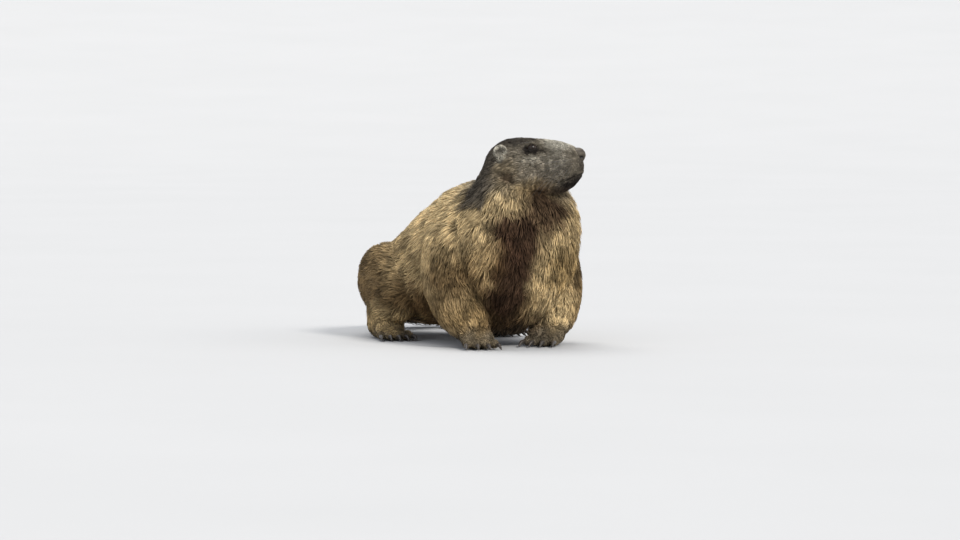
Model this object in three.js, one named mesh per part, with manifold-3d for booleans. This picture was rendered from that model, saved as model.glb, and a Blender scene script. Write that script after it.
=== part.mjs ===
// A life-size alpine marmot, standing low on all fours with its head raised and turned to its left.
// Millimetres. +Z is up, the animal faces -Y and its left side is +X. Every form is a sphere whose
// rows are moved onto rings, and the closed forms are joined and cut as solids.
import * as THREE from "three";
import { mergeVertices } from "three/addons/utils/BufferGeometryUtils.js";
import Module from "manifold-3d";

const wasm = await Module();
wasm.setup();

// Driving sizes of the animal
const GAP = 0.3;
const COAT = { body: 7, leg: 4, tail: 12 };
const FACE_FUR = 1.5;
const HEAD_JOINT = [0, 5, 190];
const HEAD_YAW = 48;
const HEAD_PITCH = 8;
const EYE_RADIUS = 6.2;
const EYE_PLACE = [19.6, -30.5, 17.4];
const LID = 1.2;
const FOREFOOT = {
  left: { x: 42, y: -8, yaw: -48 },
  right: { x: -50, y: -8, yaw: -20 },
};
const HINDFOOT = {
  left: { x: 57, y: 194, yaw: 12 },
  right: { x: -57, y: 194, yaw: -12 },
};

// Colours and finishes
const FINISH = {
  coat: { color: 0x8a6a3f, roughness: 0.95, metalness: 0 },
  face: { color: 0x77736a, roughness: 0.95, metalness: 0 },
  tail: { color: 0x4a3826, roughness: 0.95, metalness: 0 },
  paw: { color: 0x6f5f48, roughness: 0.9, metalness: 0 },
  claw: { color: 0x2b2622, roughness: 0.45, metalness: 0 },
  nose: { color: 0x3a2d27, roughness: 0.5, metalness: 0 },
  eye: { color: 0x0d0a08, roughness: 0.08, metalness: 0 },
};

const DEGREE = Math.PI / 180;
const DOME = [0, 32, 62];
const FULL_DOME = [0, 15, 32, 50, 70];
const vector = (p) => new THREE.Vector3(...p);

// The direction that a ring faces, with its side axis to the animal's left and its own up axis.
function ringAxes(yaw, pitch) {
  const forward = new THREE.Vector3(
    Math.sin(yaw) * Math.cos(pitch),
    -Math.cos(yaw) * Math.cos(pitch),
    Math.sin(pitch),
  );
  const side = new THREE.Vector3(Math.cos(yaw), Math.sin(yaw), 0);
  return { forward, side, up: new THREE.Vector3().crossVectors(forward, side) };
}

// A closed body through rings. Each ring has a place, a reach to the side, up and down, and either
// a turn (yaw and pitch in degrees) or, where the form has a reference direction, the path's own.
class Form {
  constructor({
    rings,
    ends = [0.5, 0.5],
    domes = [DOME, DOME],
    reference = [0, 0, 1],
    square = 2,
    pear = 0,
    bumps = [],
  }) {
    const steps = rings.length - 1;
    this.centres = new THREE.CatmullRomCurve3(rings.map((r) => vector(r.at)), false, "catmullrom");
    this.reaches = new THREE.CatmullRomCurve3(rings.map((r) => vector(r.reach)), false, "catmullrom");
    this.turns = rings[0].turn
      ? new THREE.CatmullRomCurve3(rings.map((r) => vector([...r.turn, 0])), false, "catmullrom")
      : null;
    this.ends = ends.map((share) => share / steps);
    this.reference = vector(reference);
    Object.assign(this, { domes, square, pear, bumps });
  }

  axes(share) {
    if (this.turns) {
      const turn = this.turns.getPoint(share).multiplyScalar(DEGREE);
      return ringAxes(turn.x, turn.y);
    }
    const forward = this.centres.getTangent(share);
    const side = new THREE.Vector3().crossVectors(this.reference, forward).normalize();
    return { forward, side, up: new THREE.Vector3().crossVectors(forward, side) };
  }

  // How far round its domed end a place is: 0 at the pole, 1 where the dome is over.
  dome(share) {
    const [first, last] = this.ends;
    const start = 1 - Math.min(1, share / first);
    const end = 1 - Math.min(1, (1 - share) / last);
    return Math.sqrt(Math.max(0, 1 - Math.max(start, end) ** 2));
  }

  point(share, angle, grow = 0) {
    const { forward, side, up } = this.axes(share);
    const reach = this.reaches.getPoint(share);
    const dome = this.dome(share);
    const round = (v) => Math.sign(v) * Math.abs(v) ** (2 / this.square);
    const across = round(Math.cos(angle));
    const along = round(Math.sin(angle));
    const centre = this.centres.getPoint(share);
    const wide = (reach.x * (1 - this.pear * along) + grow) * dome * across;
    const high = ((along > 0 ? reach.y : reach.z) + grow) * dome * along;
    const place = centre.clone().addScaledVector(side, wide).addScaledVector(up, high);
    place.addScaledVector(forward, (share > 0.5 ? 1 : -1) * grow * (1 - dome));
    for (const bump of this.bumps) {
      const near = Math.exp(-(place.distanceTo(vector(bump.at)) ** 2) / bump.radius ** 2);
      const away = place.clone().sub(centre).normalize();
      place.addScaledVector(away, bump.height * near);
    }
    return place;
  }

  // Where the rows go: the domed ends have rows of their own, and the rest are spread evenly.
  rowPlaces(rows) {
    const [first, last] = this.ends;
    const rise = (turn) => 1 - Math.cos(turn * DEGREE);
    const start = this.domes[0].map((turn) => first * rise(turn));
    const end = this.domes[1].map((turn) => 1 - last * rise(turn)).reverse();
    const middle = rows + 1 - start.length - end.length;
    const between = Array.from(
      { length: middle },
      (_, i) => first + ((1 - first - last) * (i + 0.5)) / middle,
    );
    return [...start, ...between, ...end];
  }

  solid(sides, rows, grow = 0) {
    const geometry = new THREE.SphereGeometry(1, sides, rows);
    const { position, uv } = geometry.attributes;
    const places = this.rowPlaces(rows);
    for (let i = 0; i < position.count; i++) {
      const share = places[Math.round((1 - uv.getY(i)) * rows)];
      const place = this.point(share, uv.getX(i) * 2 * Math.PI, grow);
      position.setXYZ(i, place.x, place.y, place.z);
    }
    return solidOf(geometry);
  }
}

// A geometry as a closed solid, turned right side out.
function solidOf(geometry) {
  const bare = geometry.clone();
  bare.deleteAttribute("normal");
  bare.deleteAttribute("uv");
  const merged = mergeVertices(bare, 1e-4);
  const build = (triVerts) =>
    new wasm.Manifold(
      new wasm.Mesh({ numProp: 3, vertProperties: merged.attributes.position.array, triVerts }),
    );
  const triangles = new Uint32Array(merged.index.array);
  const made = build(triangles);
  return made.volume() > 0 ? made : build(triangles.reverse());
}

function geometryOf(solid) {
  const mesh = solid.getMesh();
  const geometry = new THREE.BufferGeometry();
  geometry.setAttribute("position", new THREE.BufferAttribute(mesh.vertProperties, mesh.numProp));
  geometry.setIndex(new THREE.BufferAttribute(mesh.triVerts, 1));
  geometry.computeVertexNormals();
  return geometry;
}

const join = (...solids) => solids.flat().reduce((all, next) => all.add(next));
const cut = (solid, ...tools) => tools.flat().reduce((left, tool) => left.subtract(tool), solid);
const largest = (solid) =>
  solid.decompose().reduce((best, next) => (next.volume() > best.volume() ? next : best));
const ellipsoid = (sides, rows, reach, at, turn = [0, 0, 0]) => {
  const geometry = new THREE.SphereGeometry(1, sides, rows).scale(...reach);
  geometry.applyMatrix4(
    new THREE.Matrix4().makeRotationFromEuler(new THREE.Euler(...turn.map((a) => a * DEGREE))),
  );
  return solidOf(geometry.translate(...at));
};
const block = (low, high) => {
  const size = high.map((v, i) => v - low[i]);
  return solidOf(
    new THREE.BoxGeometry(...size).translate(...high.map((v, i) => v - size[i] / 2)),
  );
};
const placed = (solid, matrix) => solid.transform(matrix.elements);
// A frame whose own -Y faces forward, and the half space ahead of it from a start along that axis.
const frameOf = ({ forward, side, up }, at) =>
  new THREE.Matrix4().makeBasis(side, forward.clone().negate(), up).setPosition(at);
const frameAt = (at, yaw, pitch) => frameOf(ringAxes(yaw * DEGREE, pitch * DEGREE), vector(at));
const frameOn = (form, share) => frameOf(form.axes(share), form.centres.getPoint(share));
const ahead = (frame, start) => placed(block([-250, -300, -300], [250, start, 300]), frame);
const mirrored = (solid) => solid.mirror([1, 0, 0]);

const ring = (at, reach, turn) => ({ at, reach, turn });

// A repeatable scatter of numbers from -1 to 1
let seed = 20240;
function scatter() {
  seed = (Math.imul(seed, 1664525) + 1013904223) >>> 0;
  return (seed / 0xffffffff) * 2 - 1;
}

// One lock of the coat: along its run, how far it has risen from the core to the outline, and its
// width and thickness as shares of its size. The first row is the sunken root, the last the tip.
const LOCK = [
  { along: 0, lift: -0.35, wide: 0, thick: 0 },
  { along: 0.14, lift: 0.1, wide: 0.75, thick: 0.85 },
  { along: 0.48, lift: 0.42, wide: 1, thick: 1 },
  { along: 0.8, lift: 0.8, wide: 0.6, thick: 0.6 },
  { along: 1, lift: 1.05, wide: 0, thick: 0 },
];

function lock(form, coat, { share, angle, run, turn, wide, thick }, grow) {
  const at = (along, lift) =>
    form.point(share + run * along, (angle + turn * along) * DEGREE, coat * (lift - 1));
  const rows = LOCK.map((row) => {
    const centre = at(row.along, row.lift);
    const forward = at(row.along + 0.05, row.lift).sub(at(row.along - 0.05, row.lift));
    const out = at(row.along, row.lift + 0.5).sub(centre).normalize();
    const side = new THREE.Vector3().crossVectors(out, forward).normalize();
    return { centre, out, side, wide: row.wide * (wide + grow), thick: row.thick * (thick + grow) };
  });
  const geometry = new THREE.SphereGeometry(1, 4, LOCK.length - 1);
  const { position, uv } = geometry.attributes;
  for (let i = 0; i < position.count; i++) {
    const row = rows[Math.round((1 - uv.getY(i)) * (LOCK.length - 1))];
    const around = uv.getX(i) * 2 * Math.PI;
    const place = row.centre.clone();
    place.addScaledVector(row.side, Math.cos(around) * row.wide);
    place.addScaledVector(row.out, Math.sin(around) * row.thick);
    position.setXYZ(i, place.x, place.y, place.z);
  }
  return solidOf(geometry);
}

// Whether a place lies within the middle of a form.
const within = (form, place) =>
  Array.from({ length: 21 }, (_, i) => i / 20).some((share) => {
    const { x, y, z } = form.reaches.getPoint(share);
    return form.centres.getPoint(share).distanceTo(place) < (x + y + z) / 3;
  });

// Rows of locks over a form, each row set off by half a step, all a little uneven in size and lie,
// with none inside the forms that it keeps clear of. Returns the locks, as they are and grown.
function locksOver(form, coat, spec, clearOf = []) {
  const { shares, rows, angles, count, run, turn, wide, thick } = spec;
  const step = (angles[1] - angles[0]) / count;
  const made = [];
  for (let row = 0; row < rows; row++) {
    for (let i = 0; i < count; i++) {
      const middle = angles[0] + step * (i + 0.25 + 0.5 * (row % 2) + 0.12 * scatter());
      const between = rows > 1 ? row / (rows - 1) : 0;
      const share = shares[0] + (shares[1] - shares[0]) * between + 0.15 * run * scatter();
      const size = 1 + 0.14 * scatter();
      const tip = THREE.MathUtils.clamp(share + run * size, 0.03, 0.97);
      const near = form.point((share + tip) / 2, middle * DEGREE);
      if (clearOf.some((other) => within(other, near))) continue;
      made.push({
        share,
        angle: middle,
        run: tip - share,
        turn: turn(middle) + 4 * scatter(),
        wide: wide * size,
        thick: thick * size,
      });
    }
  }
  return {
    locks: made.map((one) => lock(form, coat, one, 0)),
    grown: made.map((one) => lock(form, coat, one, GAP)),
  };
}

// Trunk: from the rump to the top of the neck, which turns left under the head
const TRUNK = new Form({
  ends: [1.7, 0.9],
  domes: [FULL_DOME, DOME],
  square: 2.15,
  pear: 0.06,
  rings: [
    ring([0, 276, 62], [50, 34, 40], [0, -10]),
    ring([0, 246, 64], [58, 38, 46], [0, -4]),
    ring([0, 207, 66], [63, 46, 50], [0, 0]),
    ring([0, 165, 73], [67, 58, 58], [0, 0]),
    ring([0, 120, 84], [73, 70, 70], [0, 3]),
    ring([0, 75, 96], [72, 77, 83], [0, 9]),
    ring([0, 35, 106], [70, 76, 92], [0, 17]),
    ring([0, 4, 118], [70, 71, 91], [0, 29]),
    ring([4, -14, 139], [67, 56, 66], [5, 42]),
    ring([11, -15, 166], [57, 50, 46], [12, 50]),
    ring([10, -7, 191], [42, 32, 35], [20, 54]),
  ],
  bumps: [
    ...[-1, 1].map((s) => ({ at: [s * 68, 22, 104], radius: 36, height: 6 })),
    // The nape is fuller on the side that the head turns from
    { at: [-34, 14, 186], radius: 21, height: 9 },
  ],
});

// Head, in its own frame: it faces -Y from the joint with the neck
const HEAD = new Form({
  ends: [0.8, 0.5],
  square: 2.1,
  pear: 0.1,
  rings: [
    ring([0, 27, -5], [28, 15, 20], [0, 0]),
    ring([0, 14, -1], [34.5, 25, 29], [0, 0]),
    ring([0, 0, -1], [38.5, 32, 34], [0, 0]),
    ring([0, -15, -1], [38.5, 32.3, 36], [0, 0]),
    ring([0, -30, -2], [32, 31, 35.5], [0, 0]),
    ring([0, -45, -4], [25.5, 30.2, 32.5], [0, 0]),
    ring([0, -58, -5], [21.5, 27.8, 29], [0, 0]),
    ring([0, -69, -6], [19, 23.5, 25], [0, 0]),
    ring([0, -80, -6], [16, 17, 18], [0, 0]),
  ],
  bumps: [-1, 1].flatMap((s) => [
    { at: [s * 27, -27, 23], radius: 9, height: 2.4 },
    { at: [s * 27, -34, 14], radius: 8, height: -1.5 },
    { at: [s * 20, -50, 4], radius: 10, height: -2.2 },
    { at: [s * 16, -70, -9], radius: 9, height: 2 },
    { at: [s * 40, -10, -16], radius: 17, height: 2.5 },
  ]),
});
const headFrame = frameAt(HEAD_JOINT, HEAD_YAW, HEAD_PITCH);

// Left legs; the right hind leg mirrors this one, and each foreleg stands on its own forepaw
const forelegOver = ({ x }) =>
  new Form({
    ends: [0.5, 0.5],
    reference: [0, -1, 0],
    rings: [
      ring([Math.sign(x) * 46, 30, 126], [25, 40, 42]),
      ring([Math.sign(x) * 57, 27, 99], [30, 40, 43]),
      ring([Math.sign(x) * 62, 20, 70], [32, 33, 37]),
      ring([x * 0.5 + Math.sign(x) * 35, 7, 43], [30, 28, 30]),
      ring([x * 0.9 + Math.sign(x) * 8, -3, 23], [25, 23, 24]),
      ring([x, -6, 8], [18, 16, 16]),
    ],
  });
const THIGH = new Form({
  ends: [0.9, 0.9],
  rings: [
    ring([40, 236, 66], [17, 24, 30]),
    ring([48, 208, 66], [25, 36, 42]),
    ring([52, 174, 62], [27, 43, 44]),
    ring([56, 142, 54], [24, 37, 37]),
    ring([58, 116, 46], [18, 24, 26]),
  ],
});
const SHANK = new Form({
  ends: [0.5, 0.5],
  rings: [
    ring([57, 132, 40], [17, 19, 19]),
    ring([59, 168, 34], [19, 25, 25]),
    ring([57, 200, 22], [16, 21, 20]),
  ],
});
const TAIL = new Form({
  ends: [0.3, 0.9],
  rings: [
    ring([0, 246, 66], [19, 19, 19]),
    ring([5, 278, 52], [22, 22, 22]),
    ring([24, 302, 33], [25, 25, 25]),
    ring([56, 311, 23], [26, 26, 23]),
    ring([90, 302, 21], [26, 26, 21]),
    ring([120, 282, 19], [23, 23, 19]),
    ring([138, 260, 16], [15, 15, 16]),
  ],
});

// Feet, in their own frames: they face -Y, with the sole at z 0
const FOREPAW = new Form({
  ends: [0.7, 0.7],
  rings: [
    ring([0, 14, 10], [13, 9, 11], [0, 0]),
    ring([0, 0, 12], [17, 14, 13], [0, 0]),
    ring([0, -14, 10], [18, 10, 11], [0, 0]),
    ring([0, -28, 8], [15.5, 6.5, 9], [0, 0]),
  ],
});
const HINDPAW = new Form({
  ends: [0.8, 0.7],
  rings: [
    ring([0, 11, 16], [14, 14, 16], [0, 0]),
    ring([0, -10, 16], [14, 18, 17], [0, 0]),
    ring([0, -36, 12], [16, 12, 13], [0, 0]),
    ring([0, -60, 8], [16.5, 7, 9], [0, 0]),
  ],
});
const TOES = {
  fore: { count: 4, spread: 25, base: -22, length: 21, thick: 5, claw: 15 },
  hind: { count: 5, spread: 27, base: -54, length: 20, thick: 4.6, claw: 12 },
};

// One toe with its claw: the middle toes reach furthest
function toeForms(kind, index) {
  const { count, spread, base, length, thick, claw } = kind;
  const side = index / (count - 1) - 0.5;
  const short = 1 - 0.9 * side * side;
  const x = side * spread;
  const fan = side * 9;
  const tip = base - length * short;
  const toe = new Form({
    ends: [0.6, 0.8],
    rings: [
      ring([x, base + 4, thick + 1.5], [thick, thick, thick]),
      ring([x + fan * 0.4, (base + tip) / 2, thick + 1.8], [thick, thick * 0.95, thick * 1.15]),
      ring([x + fan, tip, thick * 0.8], [thick * 0.85, thick * 0.8, thick * 0.85]),
    ],
  });
  const nail = new Form({
    ends: [0.4, 1],
    rings: [
      ring([x + fan * 0.95, tip + 3, thick], [2.2, 2.3, 2]),
      ring([x + fan * 1.1, tip - claw * 0.4, thick + 0.6], [1.9, 2.2, 1.9]),
      ring([x + fan * 1.25, tip - claw * 0.75, thick * 0.6], [1.2, 1.6, 1.3]),
      ring([x + fan * 1.35, tip - claw, 1.3], [0.6, 0.8, 0.7]),
    ],
  });
  return { toe, nail };
}

// A foot and its claws, placed under its leg
function foot(form, kind, frame) {
  const floor = block([-90, -120, -30], [90, 60, 0]);
  const toes = Array.from({ length: kind.count }, (_, i) => toeForms(kind, i));
  const whole = (grow) =>
    join(form.solid(10, 8, grow), toes.map((t) => t.toe.solid(5, 5, grow)));
  const paw = placed(cut(whole(0), floor), frame);
  const grown = whole(GAP);
  const nails = toes.map((t) => placed(largest(cut(t.nail.solid(4, 5), grown, floor)), frame));
  return { paw, grown: placed(grown, frame), nails };
}

const FLOOR = block([-400, -400, -60], [400, 600, 0]);
const feet = {};
for (const side of ["left", "right"]) {
  const fore = FOREFOOT[side];
  const hind = HINDFOOT[side];
  feet["forepaw_" + side] = foot(FOREPAW, TOES.fore, frameAt([fore.x, fore.y, 0], fore.yaw, 0));
  feet["hindpaw_" + side] = foot(HINDPAW, TOES.hind, frameAt([hind.x, hind.y, 0], hind.yaw, 0));
}

// The head with its eyes, lids, ears, nose, nostrils and the line of the mouth
const MOUTH = [
  [-84, -16],
  [-72, -17.5],
  [-60, -21],
  [-49, -21.5],
];
const MOUTH_WIDTH = 1.4;
const MOUTH_DEPTH = 2.6;

function mouthCutter(head, shrunk) {
  const line = new THREE.CatmullRomCurve3(MOUTH.map(([y, z]) => new THREE.Vector3(y, z, 0)));
  const points = line.getPoints(8);
  const outline = [
    ...points.map((p) => new THREE.Vector2(p.x, p.y + MOUTH_WIDTH / 2)),
    ...points.reverse().map((p) => new THREE.Vector2(p.x, p.y - MOUTH_WIDTH / 2)),
  ];
  const band = new THREE.ExtrudeGeometry(new THREE.Shape(outline), {
    depth: 80,
    bevelEnabled: false,
  }).translate(0, 0, -40);
  band.applyMatrix4(
    new THREE.Matrix4().makeBasis(vector([0, 1, 0]), vector([0, 0, 1]), vector([1, 0, 0])),
  );
  return solidOf(band).subtract(shrunk);
}

const NOSE = { at: [0, -76.5, 5.2], reach: [7.2, 7.6, 6.6] };
const EAR = { at: [32, 1.5, 19], reach: [4.8, 8, 8.4], turn: [-12, 22, -28] };

function headParts() {
  const core = HEAD.solid(22, 19, -FACE_FUR);
  const shrunk = HEAD.solid(12, 12, -FACE_FUR - MOUTH_DEPTH);
  const nose = (grow) => ellipsoid(12, 8, NOSE.reach.map((r) => r + grow), NOSE.at);
  const nostrils = [-1, 1].map((s) =>
    ellipsoid(6, 5, [1.6, 4, 2], [s * 4.2, -82, 2.2], [12, 0, s * 34]),
  );
  const parts = { head: core, eyes: {}, ears: {} };
  for (const [name, s] of [["left", 1], ["right", -1]]) {
    const [x, y, z] = EYE_PLACE;
    const at = [s * x, y, z];
    const ball = (grow) => ellipsoid(12, 8, Array(3).fill(EYE_RADIUS + grow), at, [0, 90, 0]);
    const opening = ellipsoid(10, 6, [14, 5.6, 3.8], [s * (x + 8), y, z - 0.3], [8, 0, s * 14]);
    const lids = ellipsoid(12, 8, Array(3).fill(EYE_RADIUS + LID + GAP), at, [0, 90, 0]);
    parts.head = cut(join(parts.head, lids), opening, ball(GAP));
    parts.eyes[name] = ball(0);
    const [ex, ey, ez] = EAR.at;
    const turn = [EAR.turn[0], s * EAR.turn[1], s * EAR.turn[2]];
    const shell = ellipsoid(10, 8, EAR.reach, [s * ex, ey, ez], turn);
    const cup = ellipsoid(8, 8, [4.6, 5.8, 6.4], [s * (ex + 3.2), ey - 2.6, ez + 0.4], turn);
    parts.ears[name] = cut(shell, cup);
  }
  const grownHead = HEAD.solid(22, 19, -FACE_FUR + GAP);
  for (const name of ["left", "right"]) {
    parts.ears[name] = placed(largest(cut(parts.ears[name], grownHead)), headFrame);
    parts.eyes[name] = placed(parts.eyes[name], headFrame);
  }
  const lip = block([-0.6, -90, -17], [0.6, -78, -3]);
  parts.head = cut(parts.head, mouthCutter(core, shrunk), nose(GAP), lip);
  parts.nose = placed(largest(cut(nose(0), nostrils)), headFrame);
  parts.head = placed(parts.head, headFrame);
  parts.core = placed(core, headFrame);
  parts.grown = placed(grownHead, headFrame);
  return parts;
}

// The trunk and head meet in thin flat cuts. The neck holds the back of the head in a hollow.
const HEAD_CUT = { at: [0, 6, -8], pitch: 38 };
const NECK_SHARE = 0.785;
const TRUNK_SIDES = 22;
const TRUNK_ROWS = 22;
// Over the body the locks point back and down, away from the middle of the back
const BODY_LOCKS = {
  shares: [0.15, 0.99],
  rows: 8,
  angles: [-32, 212],
  count: 6,
  run: -0.14,
  turn: (angle) => -20 * Math.cos(angle * DEGREE),
  wide: 18,
  thick: 3.6,
};
const CHEST_LOCKS = {
  shares: [0.62, 0.9],
  rows: 4,
  angles: [222, 318],
  count: 3,
  run: -0.12,
  turn: (angle) => -10 * Math.cos(angle * DEGREE),
  wide: 15,
  thick: 3.4,
};
const BELLY_LOCKS = { ...CHEST_LOCKS, shares: [0.28, 0.48], rows: 2, count: 2 };

function trunkParts({ head, core, grown }, locks) {
  const trunk = join(TRUNK.solid(TRUNK_SIDES, TRUNK_ROWS, -COAT.body), locks);
  const headCut = headFrame.clone().multiply(frameAt(HEAD_CUT.at, 0, HEAD_CUT.pitch));
  const neckCut = frameOn(TRUNK, NECK_SHARE);
  const front = ahead(headCut, GAP);
  const rest = cut(join(trunk, core), grown.intersect(front));
  return {
    head: largest(head.intersect(ahead(headCut, 0))),
    neck: largest(rest.intersect(ahead(neckCut, 0))),
    torso: largest(cut(rest, ahead(neckCut, GAP))),
  };
}

const trunkGrown = TRUNK.solid(TRUNK_SIDES, TRUNK_ROWS, -COAT.body + GAP);
const mirroredForm = ({ centres, reaches }) => ({
  centres: new THREE.CatmullRomCurve3(centres.points.map(({ x, y, z }) => vector([-x, y, z]))),
  reaches,
});
const legForms = [
  forelegOver(FOREFOOT.left),
  forelegOver(FOREFOOT.right),
  THIGH,
  mirroredForm(THIGH),
];
const bodyLocks = [BODY_LOCKS, CHEST_LOCKS, BELLY_LOCKS].map((kind) =>
  locksOver(TRUNK, COAT.body, kind, legForms),
);

// Down the forelegs the locks point down and back, over the thighs back and down
const FORELEG_LOCKS = {
  shares: [0.34, 0.72],
  rows: 3,
  count: 3,
  run: 0.22,
  wide: 11,
  thick: 2.6,
};
const THIGH_LOCKS = {
  shares: [0.92, 0.45],
  rows: 3,
  angles: [-60, 80],
  count: 2,
  run: -0.34,
  turn: () => -24,
  wide: 12,
  thick: 2.6,
};
const legParts = {};
const legsGrown = [];
for (const side of ["left", "right"]) {
  const sign = side === "left" ? 1 : -1;
  const turned = side === "left" ? (s) => s : mirrored;
  const forelegForm = forelegOver(FOREFOOT[side]);
  const foreleg = (grow) => forelegForm.solid(11, 10, grow - COAT.leg);
  const hindleg = (grow) =>
    turned(join(THIGH.solid(12, 10, grow - COAT.leg), SHANK.solid(8, 7, grow - COAT.leg)));
  const { grown: forefoot } = feet["forepaw_" + side];
  const { grown: hindfoot } = feet["hindpaw_" + side];
  legsGrown.push(foreleg(GAP), hindleg(GAP));
  const outer = side === "left" ? 0 : 180;
  const forelocks = locksOver(forelegForm, COAT.leg, {
    ...FORELEG_LOCKS,
    angles: [outer - 110, outer + 110],
    turn: () => -12 * sign,
  });
  const thighLocks = locksOver(THIGH, COAT.leg, THIGH_LOCKS);
  legParts["foreleg_" + side] = {
    core: cut(foreleg(0), trunkGrown, forefoot, FLOOR),
    locks: cut(join(forelocks.locks), trunkGrown, forefoot, FLOOR),
  };
  legParts["hindleg_" + side] = {
    core: cut(hindleg(0), trunkGrown, hindfoot, FLOOR),
    locks: cut(turned(join(thighLocks.locks)), trunkGrown, hindfoot, FLOOR),
  };
}

// The legs' own coat lies over the body's, so the body's locks stop short of the legs
const freeLocks = bodyLocks.map((kind) => cut(join(kind.locks), legsGrown));
const freeGrown = bodyLocks.map((kind) => join(kind.grown));

// The tail in three lengths, parted square to its own path, with its locks pointing to the tip
const TAIL_SHARES = { root: 0, middle: 0.38, tip: 0.7 };
const TAIL_LOCKS = {
  shares: [0.1, 0.84],
  rows: 6,
  angles: [0, 360],
  count: 4,
  run: 0.19,
  turn: () => 0,
  wide: 13,
  thick: 5,
};
const tailLocks = locksOver(TAIL, COAT.tail, TAIL_LOCKS).locks;
const wholeTail = cut(
  join(TAIL.solid(10, 15, -COAT.tail), tailLocks),
  trunkGrown,
  freeGrown,
  FLOOR,
);
const tailParts = Object.entries(TAIL_SHARES).map(([name, share], i, all) => {
  const beyond = all[i + 1] ? [ahead(frameOn(TAIL, all[i + 1][1]), GAP)] : [];
  const from = share ? wholeTail.intersect(ahead(frameOn(TAIL, share), 0)) : wholeTail;
  return ["tail_" + name, largest(cut(from, ...beyond))];
});

const head = headParts();
const trunk = trunkParts(head, freeLocks);

const group = new THREE.Group();
function show(name, solid, finish) {
  const mesh = new THREE.Mesh(geometryOf(solid), new THREE.MeshStandardMaterial(finish));
  mesh.name = name;
  group.add(mesh);
}
show("torso", trunk.torso, FINISH.coat);
show("neck", trunk.neck, FINISH.coat);
show("head", trunk.head, FINISH.face);
for (const [name, solid] of tailParts) show(name, solid, FINISH.tail);
show("nose", head.nose, FINISH.nose);
for (const side of ["left", "right"]) {
  show("eye_" + side, head.eyes[side], FINISH.eye);
  show("ear_" + side, head.ears[side], FINISH.face);
}
for (const [name, { core, locks }] of Object.entries(legParts)) {
  show(name, largest(join(core, cut(locks, freeGrown))), FINISH.coat);
}
for (const [name, { paw, nails }] of Object.entries(feet)) {
  show(name, paw, FINISH.paw);
  nails.forEach((nail, i) => show(name.replace("paw", "claw") + "_" + (i + 1), nail, FINISH.claw));
}

// The part's frame: the origin is under the middle of its box, on the floor
const box = new THREE.Box3().setFromObject(group);
const middle = box.getCenter(new THREE.Vector3());
group.position.set(-middle.x, -middle.y, -box.min.z);

export default group;
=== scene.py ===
"""An alpine marmot, life size, standing low with its head raised and turned to its left.

One skin carries a coat of mesh tufts. Eyes, nose, whiskers and claws are pieces of their own.
Tables are in millimetres in the animal's own frame: it faces -Y, its left is +X, the floor is z 0.
The head has a frame of its own, with its origin at its joint: it faces -Y, and its left is +X.
"""

import math

import bmesh
import bpy
import numpy as np
from mathutils import Matrix, Vector
from mathutils.bvhtree import BVHTree
from mathutils.kdtree import KDTree


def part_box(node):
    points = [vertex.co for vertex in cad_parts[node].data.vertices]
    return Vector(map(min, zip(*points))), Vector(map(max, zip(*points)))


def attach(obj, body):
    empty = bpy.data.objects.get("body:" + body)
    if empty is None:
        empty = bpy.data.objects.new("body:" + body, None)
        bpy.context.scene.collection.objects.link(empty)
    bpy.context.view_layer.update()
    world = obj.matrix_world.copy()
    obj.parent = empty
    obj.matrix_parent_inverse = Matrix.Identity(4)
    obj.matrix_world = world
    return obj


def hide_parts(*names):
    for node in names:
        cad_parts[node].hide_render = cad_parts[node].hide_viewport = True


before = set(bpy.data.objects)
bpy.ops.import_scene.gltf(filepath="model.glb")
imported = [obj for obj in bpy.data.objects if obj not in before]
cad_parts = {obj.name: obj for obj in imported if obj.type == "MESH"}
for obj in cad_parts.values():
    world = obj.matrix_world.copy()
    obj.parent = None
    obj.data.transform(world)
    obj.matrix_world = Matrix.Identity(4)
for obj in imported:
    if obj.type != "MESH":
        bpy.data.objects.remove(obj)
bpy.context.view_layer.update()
rng = np.random.default_rng(11)

# Places and sizes, as in the part's source
HEAD_JOINT = (0, 5, 190)
HEAD_YAW, HEAD_PITCH = 48, 8
EYE_RADIUS = 6.2
EYE_PLACE = (19.6, -30.5, 17.4)
FOREFOOT = {"left": (42, -8, -48), "right": (-50, -8, -20)}
HINDFOOT = {"left": (57, 194, 12), "right": (-57, 194, -12)}
SIDES = {"left": 1, "right": -1}

# The nose pad and the ears, in the head's frame
NOSE_AT = (0, -75, 3.6)
NOSE_REACH = (8.2, 8.4, 8.4)
EAR_AT = (32, 1.5, 18.3)
EAR_REACH = (4.2, 7.6, 7.3)
EAR_TURN = (-12, 22, -28)


# Shapes
def unit(v):
    return v / np.maximum(np.linalg.norm(v, axis=-1, keepdims=True), 1e-9)


def smooth(low, high, x):
    """0 at low, 1 at high, and an even change between them."""
    t = np.clip((x - low) / (high - low), 0, 1)
    return t * t * (3 - 2 * t)


def hump(x, half):
    """1 at 0, falling off to both sides."""
    return np.exp(-((x / half) ** 2))


def ring_axes(yaw, pitch):
    """Forward, side and up of a ring turned by yaw and pitch, in radians."""
    forward = [np.sin(yaw) * np.cos(pitch), -np.cos(yaw) * np.cos(pitch), np.sin(pitch)]
    forward = np.stack(forward, -1)
    side = np.stack([np.cos(yaw), np.sin(yaw), 0 * yaw], -1)
    return forward, side, np.cross(forward, side)


def frame_at(at, yaw, pitch):
    """A 4x4 frame whose own -Y faces forward."""
    forward, side, up = ring_axes(math.radians(yaw), math.radians(pitch))
    made = np.eye(4)
    made[:3, 0], made[:3, 1], made[:3, 2], made[:3, 3] = side, -forward, up, at
    return made


def through(matrix, points):
    return points @ matrix[:3, :3].T + matrix[:3, 3]


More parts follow.
